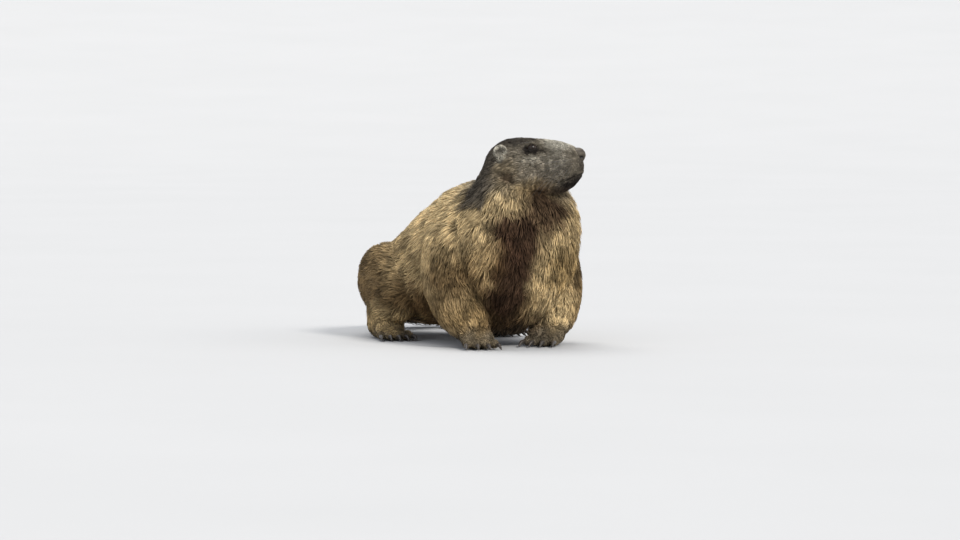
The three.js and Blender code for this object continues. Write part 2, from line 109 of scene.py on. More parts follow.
HEAD_FRAME = frame_at(HEAD_JOINT, HEAD_YAW, HEAD_PITCH)
HEAD_INVERSE = np.linalg.inv(HEAD_FRAME)
HEAD_MATRIX = Matrix(HEAD_FRAME.tolist())
EYES = {s: np.array([s * EYE_PLACE[0], *EYE_PLACE[1:]]) for s in SIDES.values()}

# The part's frame is the animal's own, shifted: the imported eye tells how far
eye_low, eye_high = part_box("eye_left")
SHIFT = np.array((eye_low + eye_high) / 2) * 1000 - through(HEAD_FRAME, np.array(EYE_PLACE))


def of_head(co):
    """The animal's places in the head's frame."""
    return through(HEAD_INVERSE, co)


def in_part(co):
    """The animal's places in the part's frame, in metres."""
    return (co + SHIFT) * 0.001


def pair(place, *rest):
    """The same thing on both sides."""
    x, y, z = place
    return [((s * x, y, z), *rest) for s in SIDES.values()]


class Curve:
    """A smooth curve through points, read at shares from 0 to 1."""

    def __init__(self, points):
        p = np.array(points, float)
        self.spans = len(p) - 1
        self.p = np.vstack([2 * p[0] - p[1], p, 2 * p[-1] - p[-2]])

    def at(self, share):
        x = np.clip(np.asarray(share, float), 0, 1) * self.spans
        i = np.minimum(x.astype(int), self.spans - 1)
        t = (x - i)[..., None]
        p0, p1, p2, p3 = (self.p[i + k] for k in range(4))
        m1, m2 = (p2 - p0) / 2, (p3 - p1) / 2
        bent = (2 * p1 - 2 * p2 + m1 + m2) * t + (3 * p2 - 3 * p1 - 2 * m1 - m2)
        return (bent * t + m1) * t + p1

    def tangent(self, share):
        share = np.asarray(share, float)
        low, high = np.clip(share - 1e-4, 0, 1), np.clip(share + 1e-4, 0, 1)
        return unit(self.at(high) - self.at(low))


def ball(sides, rows, radius=1.0, at=(0, 0, 0)):
    bm = bmesh.new()
    place = Matrix.Translation(at)
    bmesh.ops.create_uvsphere(bm, u_segments=sides, v_segments=rows, radius=radius, matrix=place)
    return bm


def pour(source, bm):
    """Moves the source's shape into bm."""
    held = bpy.data.meshes.new("held")
    source.to_mesh(held)
    source.free()
    bm.from_mesh(held)
    bpy.data.meshes.remove(held)


# The angles of the rows that lie over each domed end of a form
DOME_ROWS = np.radians(np.arange(0, 84, 12))


class Form:
    """A closed body through rings of (place, reach to the side, up and down, yaw and pitch).

    Without yaw and pitch the rings stand across the run, and their up leans to the reference.
    ends: how many gaps between rings each domed end takes. square: 2 for an ellipse, more for a
    boxier ring. pear: how much wider it is below. bumps: (place, radius, height). placed: the
    frame that all of it is in.
    """

    def __init__(
        self, rings, ends=(0.5, 0.5), square=2.0, pear=0.0, bumps=(), reference=(0, 0, 1), placed=None
    ):
        self.centres = Curve([r[0] for r in rings])
        self.reaches = Curve([r[1] for r in rings])
        self.turns = Curve([(*r[2], 0) for r in rings]) if len(rings[0]) > 2 else None
        self.ends = [share / (len(rings) - 1) for share in ends]
        self.square, self.pear, self.bumps = square, pear, bumps
        self.reference = np.array(reference, float)
        self.placed = np.eye(4) if placed is None else placed

    def axes(self, share):
        if self.turns:
            turn = np.radians(self.turns.at(share))
            return ring_axes(turn[..., 0], turn[..., 1])
        forward = self.centres.tangent(share)
        side = unit(np.cross(self.reference, forward))
        return forward, side, np.cross(forward, side)

    def dome(self, share):
        start = 1 - np.minimum(1, share / self.ends[0])
        end = 1 - np.minimum(1, (1 - share) / self.ends[1])
        return np.sqrt(np.maximum(0, 1 - np.maximum(start, end) ** 2))

    def point(self, share, angle, grow=0.0):
        """Places at a share of the run and an angle round it, on the form grown by a distance."""
        share, angle = np.broadcast_arrays(np.asarray(share, float), np.asarray(angle, float))
        forward, side, up = self.axes(share)
        reach = self.reaches.at(share)
        dome = self.dome(share)
        ways = (np.cos(angle), np.sin(angle))
        across, along = (np.sign(v) * np.abs(v) ** (2 / self.square) for v in ways)
        centre = self.centres.at(share)
        wide = (reach[..., 0] * (1 - self.pear * along) + grow) * dome * across
        tall = (np.where(along > 0, reach[..., 1], reach[..., 2]) + grow) * dome * along
        beyond = np.where(share > 0.5, 1, -1) * grow * (1 - dome)
        place = centre + side * wide[..., None] + up * tall[..., None]
        place = place + forward * beyond[..., None]
        for at, radius, height in self.bumps:
            near = np.exp(-((place - np.array(at)) ** 2).sum(-1) / radius**2)
            place = place + unit(place - centre) * (height * near)[..., None]
        return through(self.placed, place)

    def row_places(self, rows):
        """Shares of the rows of a sphere: close together on the domed ends."""
        dome = 1 - np.cos(DOME_ROWS)
        middle = rows + 1 - 2 * len(dome)
        first, last = self.ends
        between = first + (1 - first - last) * (np.arange(middle) + 0.5) / middle
        return np.concatenate([first * dome, between, (1 - last * dome)[::-1]])

    def add_to(self, bm, sides, rows, grow):
        """A sphere with its rows moved onto the form's rings, added to bm."""
        shape = ball(sides, rows)
        co = np.array([v.co for v in shape.verts])
        row = np.rint(np.arccos(np.clip(co[:, 2], -1, 1)) / np.pi * rows).astype(int)
        angle = np.arctan2(co[:, 1], co[:, 0])
        places = self.point(self.row_places(rows)[row], angle, grow)
        for v, place in zip(shape.verts, places):
            v.co = place
        bmesh.ops.recalc_face_normals(shape, faces=shape.faces[:])
        pour(shape, bm)


# The animal's forms
TRUNK = Form(
    ends=(1.7, 0.9),
    square=2.15,
    pear=0.06,
    rings=[
        ((0, 276, 62), (50, 34, 40), (0, -10)),
        ((0, 246, 64), (58, 38, 46), (0, -4)),
        ((0, 207, 66), (63, 46, 50), (0, 0)),
        ((0, 165, 73), (67, 58, 58), (0, 0)),
        ((0, 120, 84), (73, 70, 70), (0, 3)),
        ((0, 75, 96), (72, 77, 83), (0, 9)),
        ((0, 35, 106), (70, 76, 92), (0, 17)),
        ((0, 4, 118), (70, 71, 91), (0, 29)),
        ((4, -14, 139), (67, 56, 66), (5, 42)),
        ((11, -15, 166), (57, 50, 46), (12, 50)),
        ((10, -7, 191), (42, 32, 35), (20, 54)),
    ],
    bumps=[*pair((68, 22, 104), 36, 6), ((-34, 14, 186), 21, 9)],
)
HEAD = Form(
    ends=(0.8, 0.5),
    square=2.1,
    pear=0.1,
    rings=[
        ((0, 27, -5), (28, 15, 20), (0, 0)),
        ((0, 14, -1), (34.5, 25, 29), (0, 0)),
        ((0, 0, -1), (38.5, 32, 34), (0, 0)),
        ((0, -15, -1), (38.5, 32.3, 36), (0, 0)),
        ((0, -30, -2), (32, 31, 35.5), (0, 0)),
        ((0, -45, -4), (25.5, 30.2, 32.5), (0, 0)),
        ((0, -58, -5), (21.5, 27.8, 29), (0, 0)),
        ((0, -69, -6), (19, 23.5, 22), (0, 0)),
        ((0, -80, -5), (16, 16, 9), (0, 0)),
    ],
    bumps=[
        *pair((27, -27, 23), 9, 2.4),
        *pair((27, -34, 14), 8, -1.5),
        *pair((20, -50, 4), 10, -2.2),
        *pair((16, -70, -9), 9, 2),
        *pair((40, -10, -16), 17, 2.5),
    ],
    placed=HEAD_FRAME,
)
TAIL = Form(
    ends=(0.3, 0.9),
    rings=[
        ((0, 246, 66), (19, 19, 19)),
        ((5, 278, 52), (22, 22, 22)),
        ((24, 302, 33), (25, 25, 25)),
        ((56, 311, 23), (26, 26, 23)),
        ((90, 302, 21), (26, 26, 21)),
        ((120, 282, 19), (23, 23, 19)),
        ((138, 260, 16), (15, 15, 16)),
    ],
)


def foreleg(side):
    s, x = SIDES[side], FOREFOOT[side][0]
    rings = [
        ((s * 46, 30, 126), (25, 40, 42)),
        ((s * 57, 27, 99), (30, 40, 43)),
        ((s * 62, 20, 70), (32, 33, 37)),
        ((x * 0.5 + s * 35, 7, 43), (30, 28, 30)),
        ((x * 0.9 + s * 8, -3, 23), (25, 23, 24)),
        ((x, -6, 8), (18, 16, 16)),
    ]
    return Form(rings, reference=(0, -1, 0))


def thigh(placed):
    rings = [
        ((40, 236, 66), (17, 24, 30)),
        ((48, 208, 66), (25, 36, 42)),
        ((52, 174, 62), (27, 43, 44)),
        ((56, 142, 54), (24, 37, 37)),
        ((58, 116, 46), (18, 24, 26)),
    ]
    return Form(rings, ends=(0.9, 0.9), placed=placed)


def shank(placed):
    rings = [
        ((57, 132, 40), (17, 19, 19)),
        ((59, 168, 34), (19, 25, 25)),
        ((57, 200, 22), (16, 21, 20)),
    ]
    return Form(rings, placed=placed)


def forepaw(placed):
    rings = [
        ((0, 14, 10), (13, 9, 11), (0, 0)),
        ((0, 0, 12), (17, 14, 13), (0, 0)),
        ((0, -14, 10), (18, 10, 11), (0, 0)),
        ((0, -28, 8), (15.5, 6.5, 9), (0, 0)),
    ]
    return Form(rings, ends=(0.7, 0.7), placed=placed)


def hindpaw(placed):
    rings = [
        ((0, 11, 16), (14, 14, 16), (0, 0)),
        ((0, -10, 16), (14, 18, 17), (0, 0)),
        ((0, -36, 12), (16, 12, 13), (0, 0)),
        ((0, -60, 8), (16.5, 7, 9), (0, 0)),
    ]
    return Form(rings, ends=(0.8, 0.7), placed=placed)


# Toes: how many, how far apart, where they start, their length and thickness, the claw's length
FORE_TOES = {"count": 4, "spread": 25, "base": -22, "length": 21, "thick": 5, "claw": 15}
HIND_TOES = {"count": 5, "spread": 27, "base": -54, "length": 20, "thick": 4.6, "claw": 12}


def toe_and_nail(index, placed, count, spread, base, length, thick, claw):
    """One toe and its claw: the middle toes reach furthest, and the outer ones fan out."""
    side = index / (count - 1) - 0.5
    x, fan = side * spread, side * 9
    tip = base - length * (1 - 0.9 * side * side)
    toe = [
        ((x, base + 4, thick + 1.5), (thick, thick, thick)),
        ((x + fan * 0.4, (base + tip) / 2, thick + 1.8), (thick, thick * 0.95, thick * 1.15)),
        ((x + fan, tip, thick * 0.8), (thick * 0.85, thick * 0.8, thick * 0.85)),
    ]
    nail = [
        ((x + fan * 0.95, tip + 3, thick), (2.2, 2.3, 2)),
        ((x + fan * 1.1, tip - claw * 0.4, thick + 0.6), (1.9, 2.2, 1.9)),
        ((x + fan * 1.25, tip - claw * 0.75, thick * 0.6), (1.2, 1.6, 1.3)),
        ((x + fan * 1.35, tip - claw, 1.3), (0.6, 0.8, 0.7)),
    ]
    return Form(toe, ends=(0.6, 0.8), placed=placed), Form(nail, ends=(0.4, 1), placed=placed)


# The body's forms by name, and the toes and claws of each foot
FORMS = {"trunk": TRUNK, "head": HEAD, "tail": TAIL}
TOES, CLAWS = {}, {}
for side, sign in SIDES.items():
    mirror = np.diag([sign, 1.0, 1, 1])
    FORMS["foreleg_" + side] = foreleg(side)
    FORMS["thigh_" + side] = thigh(mirror)
    FORMS["shank_" + side] = shank(mirror)
FEET = (("fore", FOREFOOT, forepaw, FORE_TOES), ("hind", HINDFOOT, hindpaw, HIND_TOES))
for limb, places, paw, kind in FEET:
    for side, (x, y, yaw) in places.items():
        placed = frame_at((x, y, 0), yaw, 0)
        digits = [toe_and_nail(i, placed, **kind) for i in range(kind["count"])]
        FORMS[f"{limb}paw_{side}"] = paw(placed)
        TOES[f"{limb}paw_{side}"] = [toe for toe, nail in digits]
        CLAWS[f"{limb}claw_{side}"] = [nail for toe, nail in digits]
BIG_FORMS = ("trunk", "head")


class Coat:
    """How the fur grows on a form, in millimetres.

    depth: how far the skin lies under the form's outline. run: (share, length, rise) along it.
    width: a tuft's. gap: between roots. flow: 1 along the form's run, -1 against it. droop: how
    much it hangs. clump: how much tufts draw together. under: how much longer it is underneath.
    """

    def __init__(self, depth, run, width, gap, flow=1, droop=0.0, clump=0.5, under=0.0):
        self.depth = depth
        self.run = np.array(run, float)
        self.width, self.gap = width, gap
        self.flow, self.droop, self.clump, self.under = flow, droop, clump, under

    def length(self, share):
        return np.interp(share, self.run[:, 0], self.run[:, 1])

    def rise(self, share):
        return np.interp(share, self.run[:, 0], self.run[:, 2])


TRUNK_RUN = [(0, 19, 6.5), (0.4, 20, 6.8), (0.75, 19, 6.8), (0.9, 18, 7.2), (1, 17, 7)]
HEAD_RUN = [(0, 15, 3.4), (0.2, 13, 3.6), (0.35, 9.5, 3), (0.5, 6, 2.2), (0.75, 3.6, 1.4), (1, 2.2, 0.9)]
TAIL_RUN = [(0, 22, 9), (0.5, 27, 10.5), (1, 32, 10.5)]
FORELEG_RUN = [(0, 17, 4.6), (0.5, 15, 4.2), (0.75, 9, 3), (1, 5, 1.6)]
THIGH_RUN = [(0, 17, 4.6), (0.6, 16, 4.6), (1, 13, 4.2)]
SHANK_RUN = [(0, 17, 6), (0.6, 15, 5.5), (1, 9, 3)]
PAW_RUN = [(0, 5, 1.6), (0.6, 4, 1.1), (1, 3, 0.8)]
PAW_COAT = Coat(depth=0.8, run=PAW_RUN, width=0.75, gap=1.05, clump=0.3)
COATS = {
    "trunk": Coat(depth=7, run=TRUNK_RUN, width=1.3, gap=1.75, flow=-1, droop=0.45),
    "head": Coat(
        depth=2.6, run=HEAD_RUN, width=0.7, gap=0.9, flow=-1, droop=0.3, clump=0.42, under=0.9
    ),
    "tail": Coat(depth=12, run=TAIL_RUN, width=1.4, gap=1.8, clump=0.45),
    "foreleg": Coat(depth=4, run=FORELEG_RUN, width=1.15, gap=1.65),
    "thigh": Coat(depth=4, run=THIGH_RUN, width=1.25, gap=1.75, flow=-1, droop=0.6),
    "shank": Coat(depth=4, run=SHANK_RUN, width=1.0, gap=1.5, clump=0.4),
    "forepaw": PAW_COAT,
    "hindpaw": PAW_COAT,
}
TOE_DEPTH = 0.7


def coat_of(name):
    return COATS[name.split("_")[0]]


# Length, rise, width, gap, clump and droop where the fur differs from its form's
EAR_COAT = (4.0, 1.3, 0.62, 0.82, 0.3, 0)
LID_COAT = (2.2, 0.7, 0.55, 0.8, 0.2, 0)
FRINGE_COAT = (24, 15, 1.4, 1.75, 0.5, 0.3)
# Where they end: in an ear's reaches, from an eye's middle, and by height, side and length
EAR_EDGE, LID_EDGE = (1.15, 1.5), (9, 14)
FRINGE_LOW, FRINGE_HIGH, FRINGE_SIDE, FRINGE_BACK = (9, 18), (24, 62), (18, 33), (130, 90)
# How fur lies on the ears, in the head's frame
EAR_LIE = (0, 0.5, 0.86)


# Skin
# The size that the forms are melted at, and the lowest that the soles reach
VOXEL, SOLE = 1.6, 0.2
# The share of faces that is kept: those that go lie under long fur, which is above a height and
# off the head, and the head is above the next height and ahead of a line
SKIN_KEPT, LONG_FUR_FROM, HEAD_FROM, HEAD_BACK = 0.4, 26, 120, 14
# Faces are divided ahead of a line on the face, and within a distance of the eyes
FINE_FACE, FINE_EYES = -8, 12
# An ear's cup, in shares of its reach: how wide and deep, and how thick and soft its rim
CUP_WIDE, CUP_DEEP, CUP_RIM, CUP_SOFT = 0.8, 1.3, 0.2, 0.5
# Each lid starts as a ball, wider than the eye and set in from it
LID_RADIUS, LID_INSET = EYE_RADIUS + 1.1, 0.4
# The eye looks along EYE_OUT and its slit runs along EYE_SLIT: half its length and height, its
# drop, and how much it narrows to its corners
EYE_OUT, EYE_SLIT = (0.93, -0.2, 0.22), (0, -1.0, 0.12)
SLIT_LONG, SLIT_HIGH = math.radians(66), math.radians(30)
SLIT_DROP, SLIT_TAPER = 0.12, 0.25
# The skin is this far under the eye inside the slit, and over it beside: there the rim is thicker
EYE_HOLLOW, LID_OVER, LID_THICK, LID_THICKEST, LID_HALF = 1.6, 0.9, 0.7, 1.25, 0.2
# The line of the mouth from the front back, as y and z in the head's frame
MOUTH = Curve([(-84, -16, 0), (-72, -17.5, 0), (-60, -21, 0), (-49, -21.5, 0)])
MOUTH_LINE = MOUTH.at(np.linspace(0, 1, 40))
MOUTH_DEEP, MOUTH_HALF, MOUTH_END = 1.7, 1.0, (-46, -51)
LIP_HIGH, LIP_AT, LIP_HALF = 0.7, 2.4, 1.3
# In front the line rises in its middle: how high, half how wide, and from where to where
PEAK_HIGH, PEAK_HALF, PEAK_RUN = 3, 4.5, (-68, -76)
# The groove under the nose, and its limits in front, to the side and above
GROOVE_DEEP, GROOVE_HALF = 1.6, 0.9
GROOVE_FRONT, GROOVE_SIDE, GROOVE_TOP = -74, 5, 3
# How far the shaping reaches: back over the head, off the lips, and from an eye's middle
FACE_BACK, LIPS_REACH, SLIT_REACH, RIM_REACH = 10, 12, 13, 9


def mesh_object(name, mesh):
    made = bpy.data.objects.new(name, mesh)
    bpy.context.scene.collection.objects.link(made)
    return made


def taken(name, bm):
    """The bmesh as an object."""
    mesh = bpy.data.meshes.new(name)
    bm.to_mesh(mesh)
    bm.free()
    return mesh_object(name, mesh)


def applied(made):
    """The object with its modifiers applied."""
    held = made.evaluated_get(bpy.context.evaluated_depsgraph_get())
    mesh = bpy.data.meshes.new_from_object(held)
    old = made.data
    made.modifiers.clear()
    made.data = mesh
    bpy.data.meshes.remove(old)
    return made


def ear_frame(sign):
    """An ear's own frame: its cup opens along X."""
    rx, ry, rz = (math.radians(a) for a in EAR_TURN)
    turn = Matrix.Rotation(rx, 4, "X")
    turn = turn @ Matrix.Rotation(sign * ry, 4, "Y") @ Matrix.Rotation(sign * rz, 4, "Z")
    x, y, z = EAR_AT
    return HEAD_MATRIX @ Matrix.Translation((sign * x, y, z)) @ turn


def ear(sign):
    """A round ear: a thick disc with its front pressed into a cup."""
    bm = ball(48, 36)
    for v in bm.verts:
        x, y, z = v.co
        cup = max(0.0, 1 - (math.hypot(y, z) / CUP_WIDE) ** 2)
        front = x * sign
        if front > -CUP_RIM:
            front -= CUP_DEEP * cup * min(1.0, (front + CUP_RIM) / CUP_SOFT)
        v.co = (sign * front * EAR_REACH[0], y * EAR_REACH[1], z * EAR_REACH[2])
    bmesh.ops.recalc_face_normals(bm, faces=bm.faces[:])
    bm.transform(ear_frame(sign))
    return bm


def flesh():
    """All the forms at the depth of the skin, melted into one closed surface."""
    bm = bmesh.new()
    for name, form in FORMS.items():
        fine = 96 if name in BIG_FORMS else 48
        form.add_to(bm, fine, fine, -coat_of(name).depth)
    for toes in TOES.values():
        for toe in toes:
            toe.add_to(bm, 20, 24, -TOE_DEPTH)
    for sign in SIDES.values():
        x, y, z = EYE_PLACE
        at = through(HEAD_FRAME, np.array([sign * (x - LID_INSET), y, z]))
        pour(ball(24, 16, LID_RADIUS, at), bm)
        pour(ear(sign), bm)
    made = taken("skin", bm)
    remesh = made.modifiers.new("melt", "REMESH")
    remesh.mode = "VOXEL"
    remesh.voxel_size = VOXEL
    soften = made.modifiers.new("soften", "SMOOTH")
    soften.factor = 0.5
    soften.iterations = 5
    return thinned(applied(made))


def thinned(made):
    """The skin with fewer faces where long fur hides it."""
    hidden = made.vertex_groups.new(name="hidden")
    co = co_of(made.data)
    head = (of_head(co)[:, 1] < HEAD_BACK) & (co[:, 2] > HEAD_FROM)
    covered = (co[:, 2] > LONG_FUR_FROM) & ~head
    for weight in (0, 1):
        hidden.add(np.flatnonzero(covered == weight).tolist(), float(weight), "REPLACE")
    fewer = made.modifiers.new("fewer", "DECIMATE")
    fewer.ratio = SKIN_KEPT
    fewer.vertex_group = "hidden"
    made = applied(made)
    made.vertex_groups.clear()
    return made


def read_points(mesh, what):
    out = np.empty(len(mesh.vertices) * 3, np.float32)
    mesh.vertices.foreach_get(what, out)
    return out.reshape(-1, 3).astype(float)


def co_of(mesh):
    return read_points(mesh, "co")


def refine(made, near):
    """Faces within near(places) are divided."""
    bm = bmesh.new()
    bm.from_mesh(made.data)
    picked = near(np.array([f.calc_center_median() for f in bm.faces]))
    edges = list({e for f, yes in zip(bm.faces, picked) if yes for e in f.edges})
    bmesh.ops.subdivide_edges(bm, edges=edges, cuts=1, use_grid_fill=True, smooth=0.6)
    bm.to_mesh(made.data)
    bm.free()


def on_face(co):
    return (of_head(co)[:, 1] < FINE_FACE) & (co[:, 2] > HEAD_FROM)


def round_eyes(co):
    q = of_head(co)
    far = [np.linalg.norm(q - eye, axis=1) for eye in EYES.values()]
    return np.min(far, axis=0) < FINE_EYES


def eye_numbers(q, sign):
    """For places in the head's frame: their distance from the eye's middle, their place in the
    slit, which is less than 1 inside it and 1 on its rim, and their way from the eye's middle."""
    d = q - EYES[sign]
    out = unit(np.array([sign * EYE_OUT[0], *EYE_OUT[1:]]))
    ahead = unit(np.array(EYE_SLIT) - out * np.dot(EYE_SLIT, out))
    up = np.cross(ahead, out) * -sign
    r = np.linalg.norm(d, axis=1)
    a = np.arctan2(d @ ahead, d @ out) / SLIT_LONG
    b = np.arctan2(d @ up, d @ out) + SLIT_DROP
    return r, np.hypot(a, b / (SLIT_HIGH * (1 - SLIT_TAPER * a**2))), d


def mouth_gap(q):
    """How far above the line of the mouth a place in the head's frame is, and how near its run."""
    z = np.interp(q[:, 1], MOUTH_LINE[:, 0], MOUTH_LINE[:, 1])
    z = z + PEAK_HIGH * hump(q[:, 0], PEAK_HALF) * smooth(*PEAK_RUN, q[:, 1])
    return q[:, 2] - z, smooth(*MOUTH_END, q[:, 1])


def carve(made):
    """Lids, the line of the mouth and the groove under the nose."""
    mesh = made.data
    q = of_head(co_of(mesh))
    turned = read_points(mesh, "normal") @ HEAD_FRAME[:3, :3]
    head = q[:, 1] < FACE_BACK
    above, run = mouth_gap(q)
    low = head & (np.abs(above) < LIPS_REACH)
    dent = -MOUTH_DEEP * hump(above, MOUTH_HALF) * run
    lip = LIP_HIGH * hump(np.abs(above) - LIP_AT, LIP_HALF) * run
    q[low] += (turned * (dent + lip)[:, None])[low]
    groove = head & (q[:, 1] < GROOVE_FRONT) & (np.abs(q[:, 0]) < GROOVE_SIDE)
    groove &= (q[:, 2] < GROOVE_TOP) & (above > -1)
    q[groove, 1] += GROOVE_DEEP * hump(q[groove, 0], GROOVE_HALF)
    for sign in SIDES.values():
        r, lid, d = eye_numbers(q, sign)
        near = head & (r < SLIT_REACH) & (q[:, 0] * sign > 0)
        inside = near & (lid < 1)
        rim = near & (lid >= 1) & (r < RIM_REACH)
        depth = EYE_RADIUS - EYE_HOLLOW
        q[inside] -= d[inside] * (1 - depth / np.maximum(r[inside], 1e-6))[:, None]
        target = EYE_RADIUS + LID_OVER + LID_THICK * hump(lid - LID_THICKEST, LID_HALF)
        sunk = rim & (r < target)
        q[sunk] += d[sunk] * (target / np.maximum(r, 1e-6) - 1)[sunk][:, None]
    co = through(HEAD_FRAME, q)
    co[:, 2] = np.maximum(co[:, 2], SOLE)
    mesh.vertices.foreach_set("co", co.astype(np.float32).ravel())
    mesh.update()


# Markings, with painted light and shade among them
TAN = (0.44, 0.325, 0.17)
STRAW = (0.62, 0.475, 0.26)
GOLD = (0.46, 0.34, 0.175)
OCHRE = (0.3, 0.207, 0.093)
RUFOUS = (0.2, 0.118, 0.047)
UMBER = (0.046, 0.025, 0.015)
SAND = (0.22, 0.165, 0.09)
SMOKE = (0.052, 0.044, 0.036)
SLATE = (0.072, 0.061, 0.048)
BARK = (0.13, 0.086, 0.041)
GREY = (0.172, 0.15, 0.116)
PALE = (0.4, 0.375, 0.31)
CREAM = (0.5, 0.39, 0.24)
SOOT = (0.022, 0.018, 0.016)
TAUPE = (0.135, 0.112, 0.08)
# Waves that fray the marks' edges: their size, and two rates
BODY_WAVES, HEAD_WAVES = (3.5, 0.21, 0.13), (1.2, 0.8, 0.55)
# Feet are taupe up to a soft cuff, which is lower on the hind feet
CUFF, HIND_CUFF, HIND_FROM, CUFF_STRENGTH = (8, 32), 0.45, 100, 0.85


def on_both(where, place, *rest):
    """The same mark on both sides."""
    return [(where, *mark) for mark in pair(place, *rest)]


# Each is laid over those before it: frame, centre, reach, softness of the edge, colour, strength
MARKS = [
    # Pale straw fur over the back, made paler still as a painted highlight where light falls on top
    ("body", (0, 80, 162), (95, 125, 52), 0.55, STRAW, 0.85),
    ("body", (0, 236, 84), (90, 62, 50), 0.5, OCHRE, 0.85),
    ("body", (0, 130, 74), (110, 90, 34), 0.6, OCHRE, 0.25),
    ("body", (0, 120, 34), (110, 180, 34), 0.5, RUFOUS, 0.95),
    *on_both("body", (60, 112, 46), (26, 34, 26), 0.6, UMBER, 0.3),
    *on_both("body", (74, 0, 80), (30, 34, 26), 0.7, BARK, 1.0),
    ("body", (48, -36, 147), (22, 24, 20), 0.5, SAND, 0.9),
    ("body", (-48, -36, 147), (22, 24, 20), 0.5, SAND, 0.65),
    *on_both("body", (50, -11, 60), (22, 24, 17), 0.6, BARK, 0.75),
    *on_both("body", (60, 0, 26), (44, 40, 26), 0.5, OCHRE, 0.4),
    *on_both("body", (86, 16, 36), (20, 30, 36), 0.6, BARK, 0.55),
    # Painted light: the left foreleg and the left shoulder are paler where light falls on that side
    ("body", (34, -22, 44), (32, 34, 30), 0.6, STRAW, 0.85),
    ("body", (58, -26, 134), (30, 44, 56), 0.5, TAN, 0.8),
    ("body", (36, -46, 86), (26, 32, 24), 0.5, OCHRE, 0.9),
    # Dark brown chest, partly painted shade: it is set off to the shaded right side, and the right
    # shoulder gets a rufous painted shade
    ("body", (-22, -50, 118), (28, 36, 32), 0.4, UMBER, 0.98),
    ("body", (-29, -42, 72), (20, 40, 50), 0.4, UMBER, 0.98),
    ("body", (-50, -30, 92), (16, 30, 24), 0.6, RUFOUS, 0.4),
    # Dark underside, which also colours the fringe hanging from it: partly painted shade under the body
    ("body", (0, 40, 14), (44, 110, 34), 0.5, UMBER, 0.9),
    *on_both("body", (68, 179, 63), (34, 53, 46), 0.5, BARK, 0.88),
    *on_both("body", (66, 168, 20), (34, 50, 20), 0.5, GOLD, 0.8),
    ("body", (80, 300, 22), (100, 45, 60), 0.35, UMBER, 0.85),
    ("body", (130, 272, 18), (26, 30, 40), 0.5, SMOKE, 0.7),
    ("body", (-6, 28, 200), (34, 30, 22), 0.5, SMOKE, 0.9),
    ("head", (0, -30, 0), (70, 84, 46), 0.3, GREY, 0.96),
    *on_both("head", (38, 2, -4), (14, 16, 16), 0.6, TAN, 0.35),
    *on_both("head", (28, -24, -24), (17, 22, 10), 0.5, TAN, 0.5),
    ("head", (0, 0, -36), (56, 36, 19), 0.45, TAN, 0.9),
    ("head", (0, -28, -34), (60, 22, 14), 0.6, OCHRE, 0.4),
    *on_both("head", (34, 10, -30), (14, 14, 10), 0.5, CREAM, 0.6),
    *on_both("head", (38, -6, -10), (8, 8, 7), 0.7, UMBER, 0.7),
    ("head", (0, -12, 32), (36, 25, 13), 0.4, SMOKE, 0.95),
    ("head", (0, -38, 32), (13, 24, 7), 0.5, SMOKE, 0.6),
    *on_both("head", (26, 24, 6), (26, 12, 24), 0.4, SMOKE, 0.9),
    ("head", (0, 16, 24), (40, 14, 16), 0.5, SMOKE, 0.85),
    ("head", (0, -60, 21), (21, 18, 12), 0.45, PALE, 0.9),
    *on_both("head", (27, -32, 6), (8, 13, 4.5), 0.6, PALE, 0.35),
    *on_both("head", (19, -56, 2), (10, 12, 10), 0.6, PALE, 0.3),
    *on_both("head", (25, -30, 16.5), (9, 11.5, 5.6), 0.4, SOOT, 0.97),
    *on_both("head", (22, -44, 14), (6, 8, 2.8), 0.5, SOOT, 0.85),
    *on_both("head", (35, 2, 19), (8, 10.5, 10.5), 0.3, PALE, 0.85),
    *on_both("head", (34, 0.5, 18.5), (4, 4.2, 4.2), 0.4, SMOKE, 0.8),
    ("head", (0, -84, -7), (18, 10, 12), 0.5, SMOKE, 0.85),
    # Painted shade under the jaw: the chin and the lower lip are near black
    ("head", (0, -66, -26), (22, 22, 8), 0.5, SOOT, 0.95),
    ("head", (0, -74, -19), (24, 14, 4), 0.5, SOOT, 0.8),
    # Dark throat, partly painted shade under the head
    ("body", (14, -42, 148), (30, 30, 26), 0.45, UMBER, 0.92),
    # Dark nape, reaching further down the right side of the neck as painted shade
    ("body", (-36, 4, 188), (19, 25, 18), 0.35, SLATE, 0.98),
    ("body", (-46, -6, 170), (17, 27, 15), 0.35, SLATE, 0.98),
    ("body", (-54, -10, 157), (11, 22, 10), 0.4, SLATE, 0.9),
    ("body", (34, 26, 188), (20, 20, 18), 0.35, SMOKE, 0.95),
    ("body", (46, 30, 168), (15, 22, 13), 0.4, SMOKE, 0.85),
]


def zone(at, centre, reach, soft):
    """1 inside a soft ellipsoid and 0 outside it."""
    far = np.sqrt((((at - np.array(centre)) / np.array(reach)) ** 2).sum(1))
    return 1 - smooth(1 - soft, 1 + soft, far)


def frayed(co, size, rate, bend):
    """Places moved by waves, so that the marks end unevenly."""
    return co + size * np.sin(co[:, [1, 2, 0]] * rate + 2 * np.sin(co[:, [2, 0, 1]] * bend))


def markings_and_painted_light(co):
    """The coat's colour at places of the animal: its markings, with painted light and shade laid in."""
    colour = np.tile(np.array(TAN), (len(co), 1))
    body = frayed(co, *BODY_WAVES)
    places = {"body": body, "head": of_head(frayed(co, *HEAD_WAVES))}
    for where, centre, reach, soft, paint, strength in MARKS:
        share = (zone(places[where], centre, reach, soft) * strength)[:, None]
        colour = colour * (1 - share) + np.array(paint) * share
    height = np.where(co[:, 1] > HIND_FROM, HIND_CUFF, 1.0)
    foot = (1 - smooth(CUFF[0] * height, CUFF[1] * height, body[:, 2]))[:, None] * CUFF_STRENGTH
    return colour * (1 - foot) + np.array(TAUPE) * foot


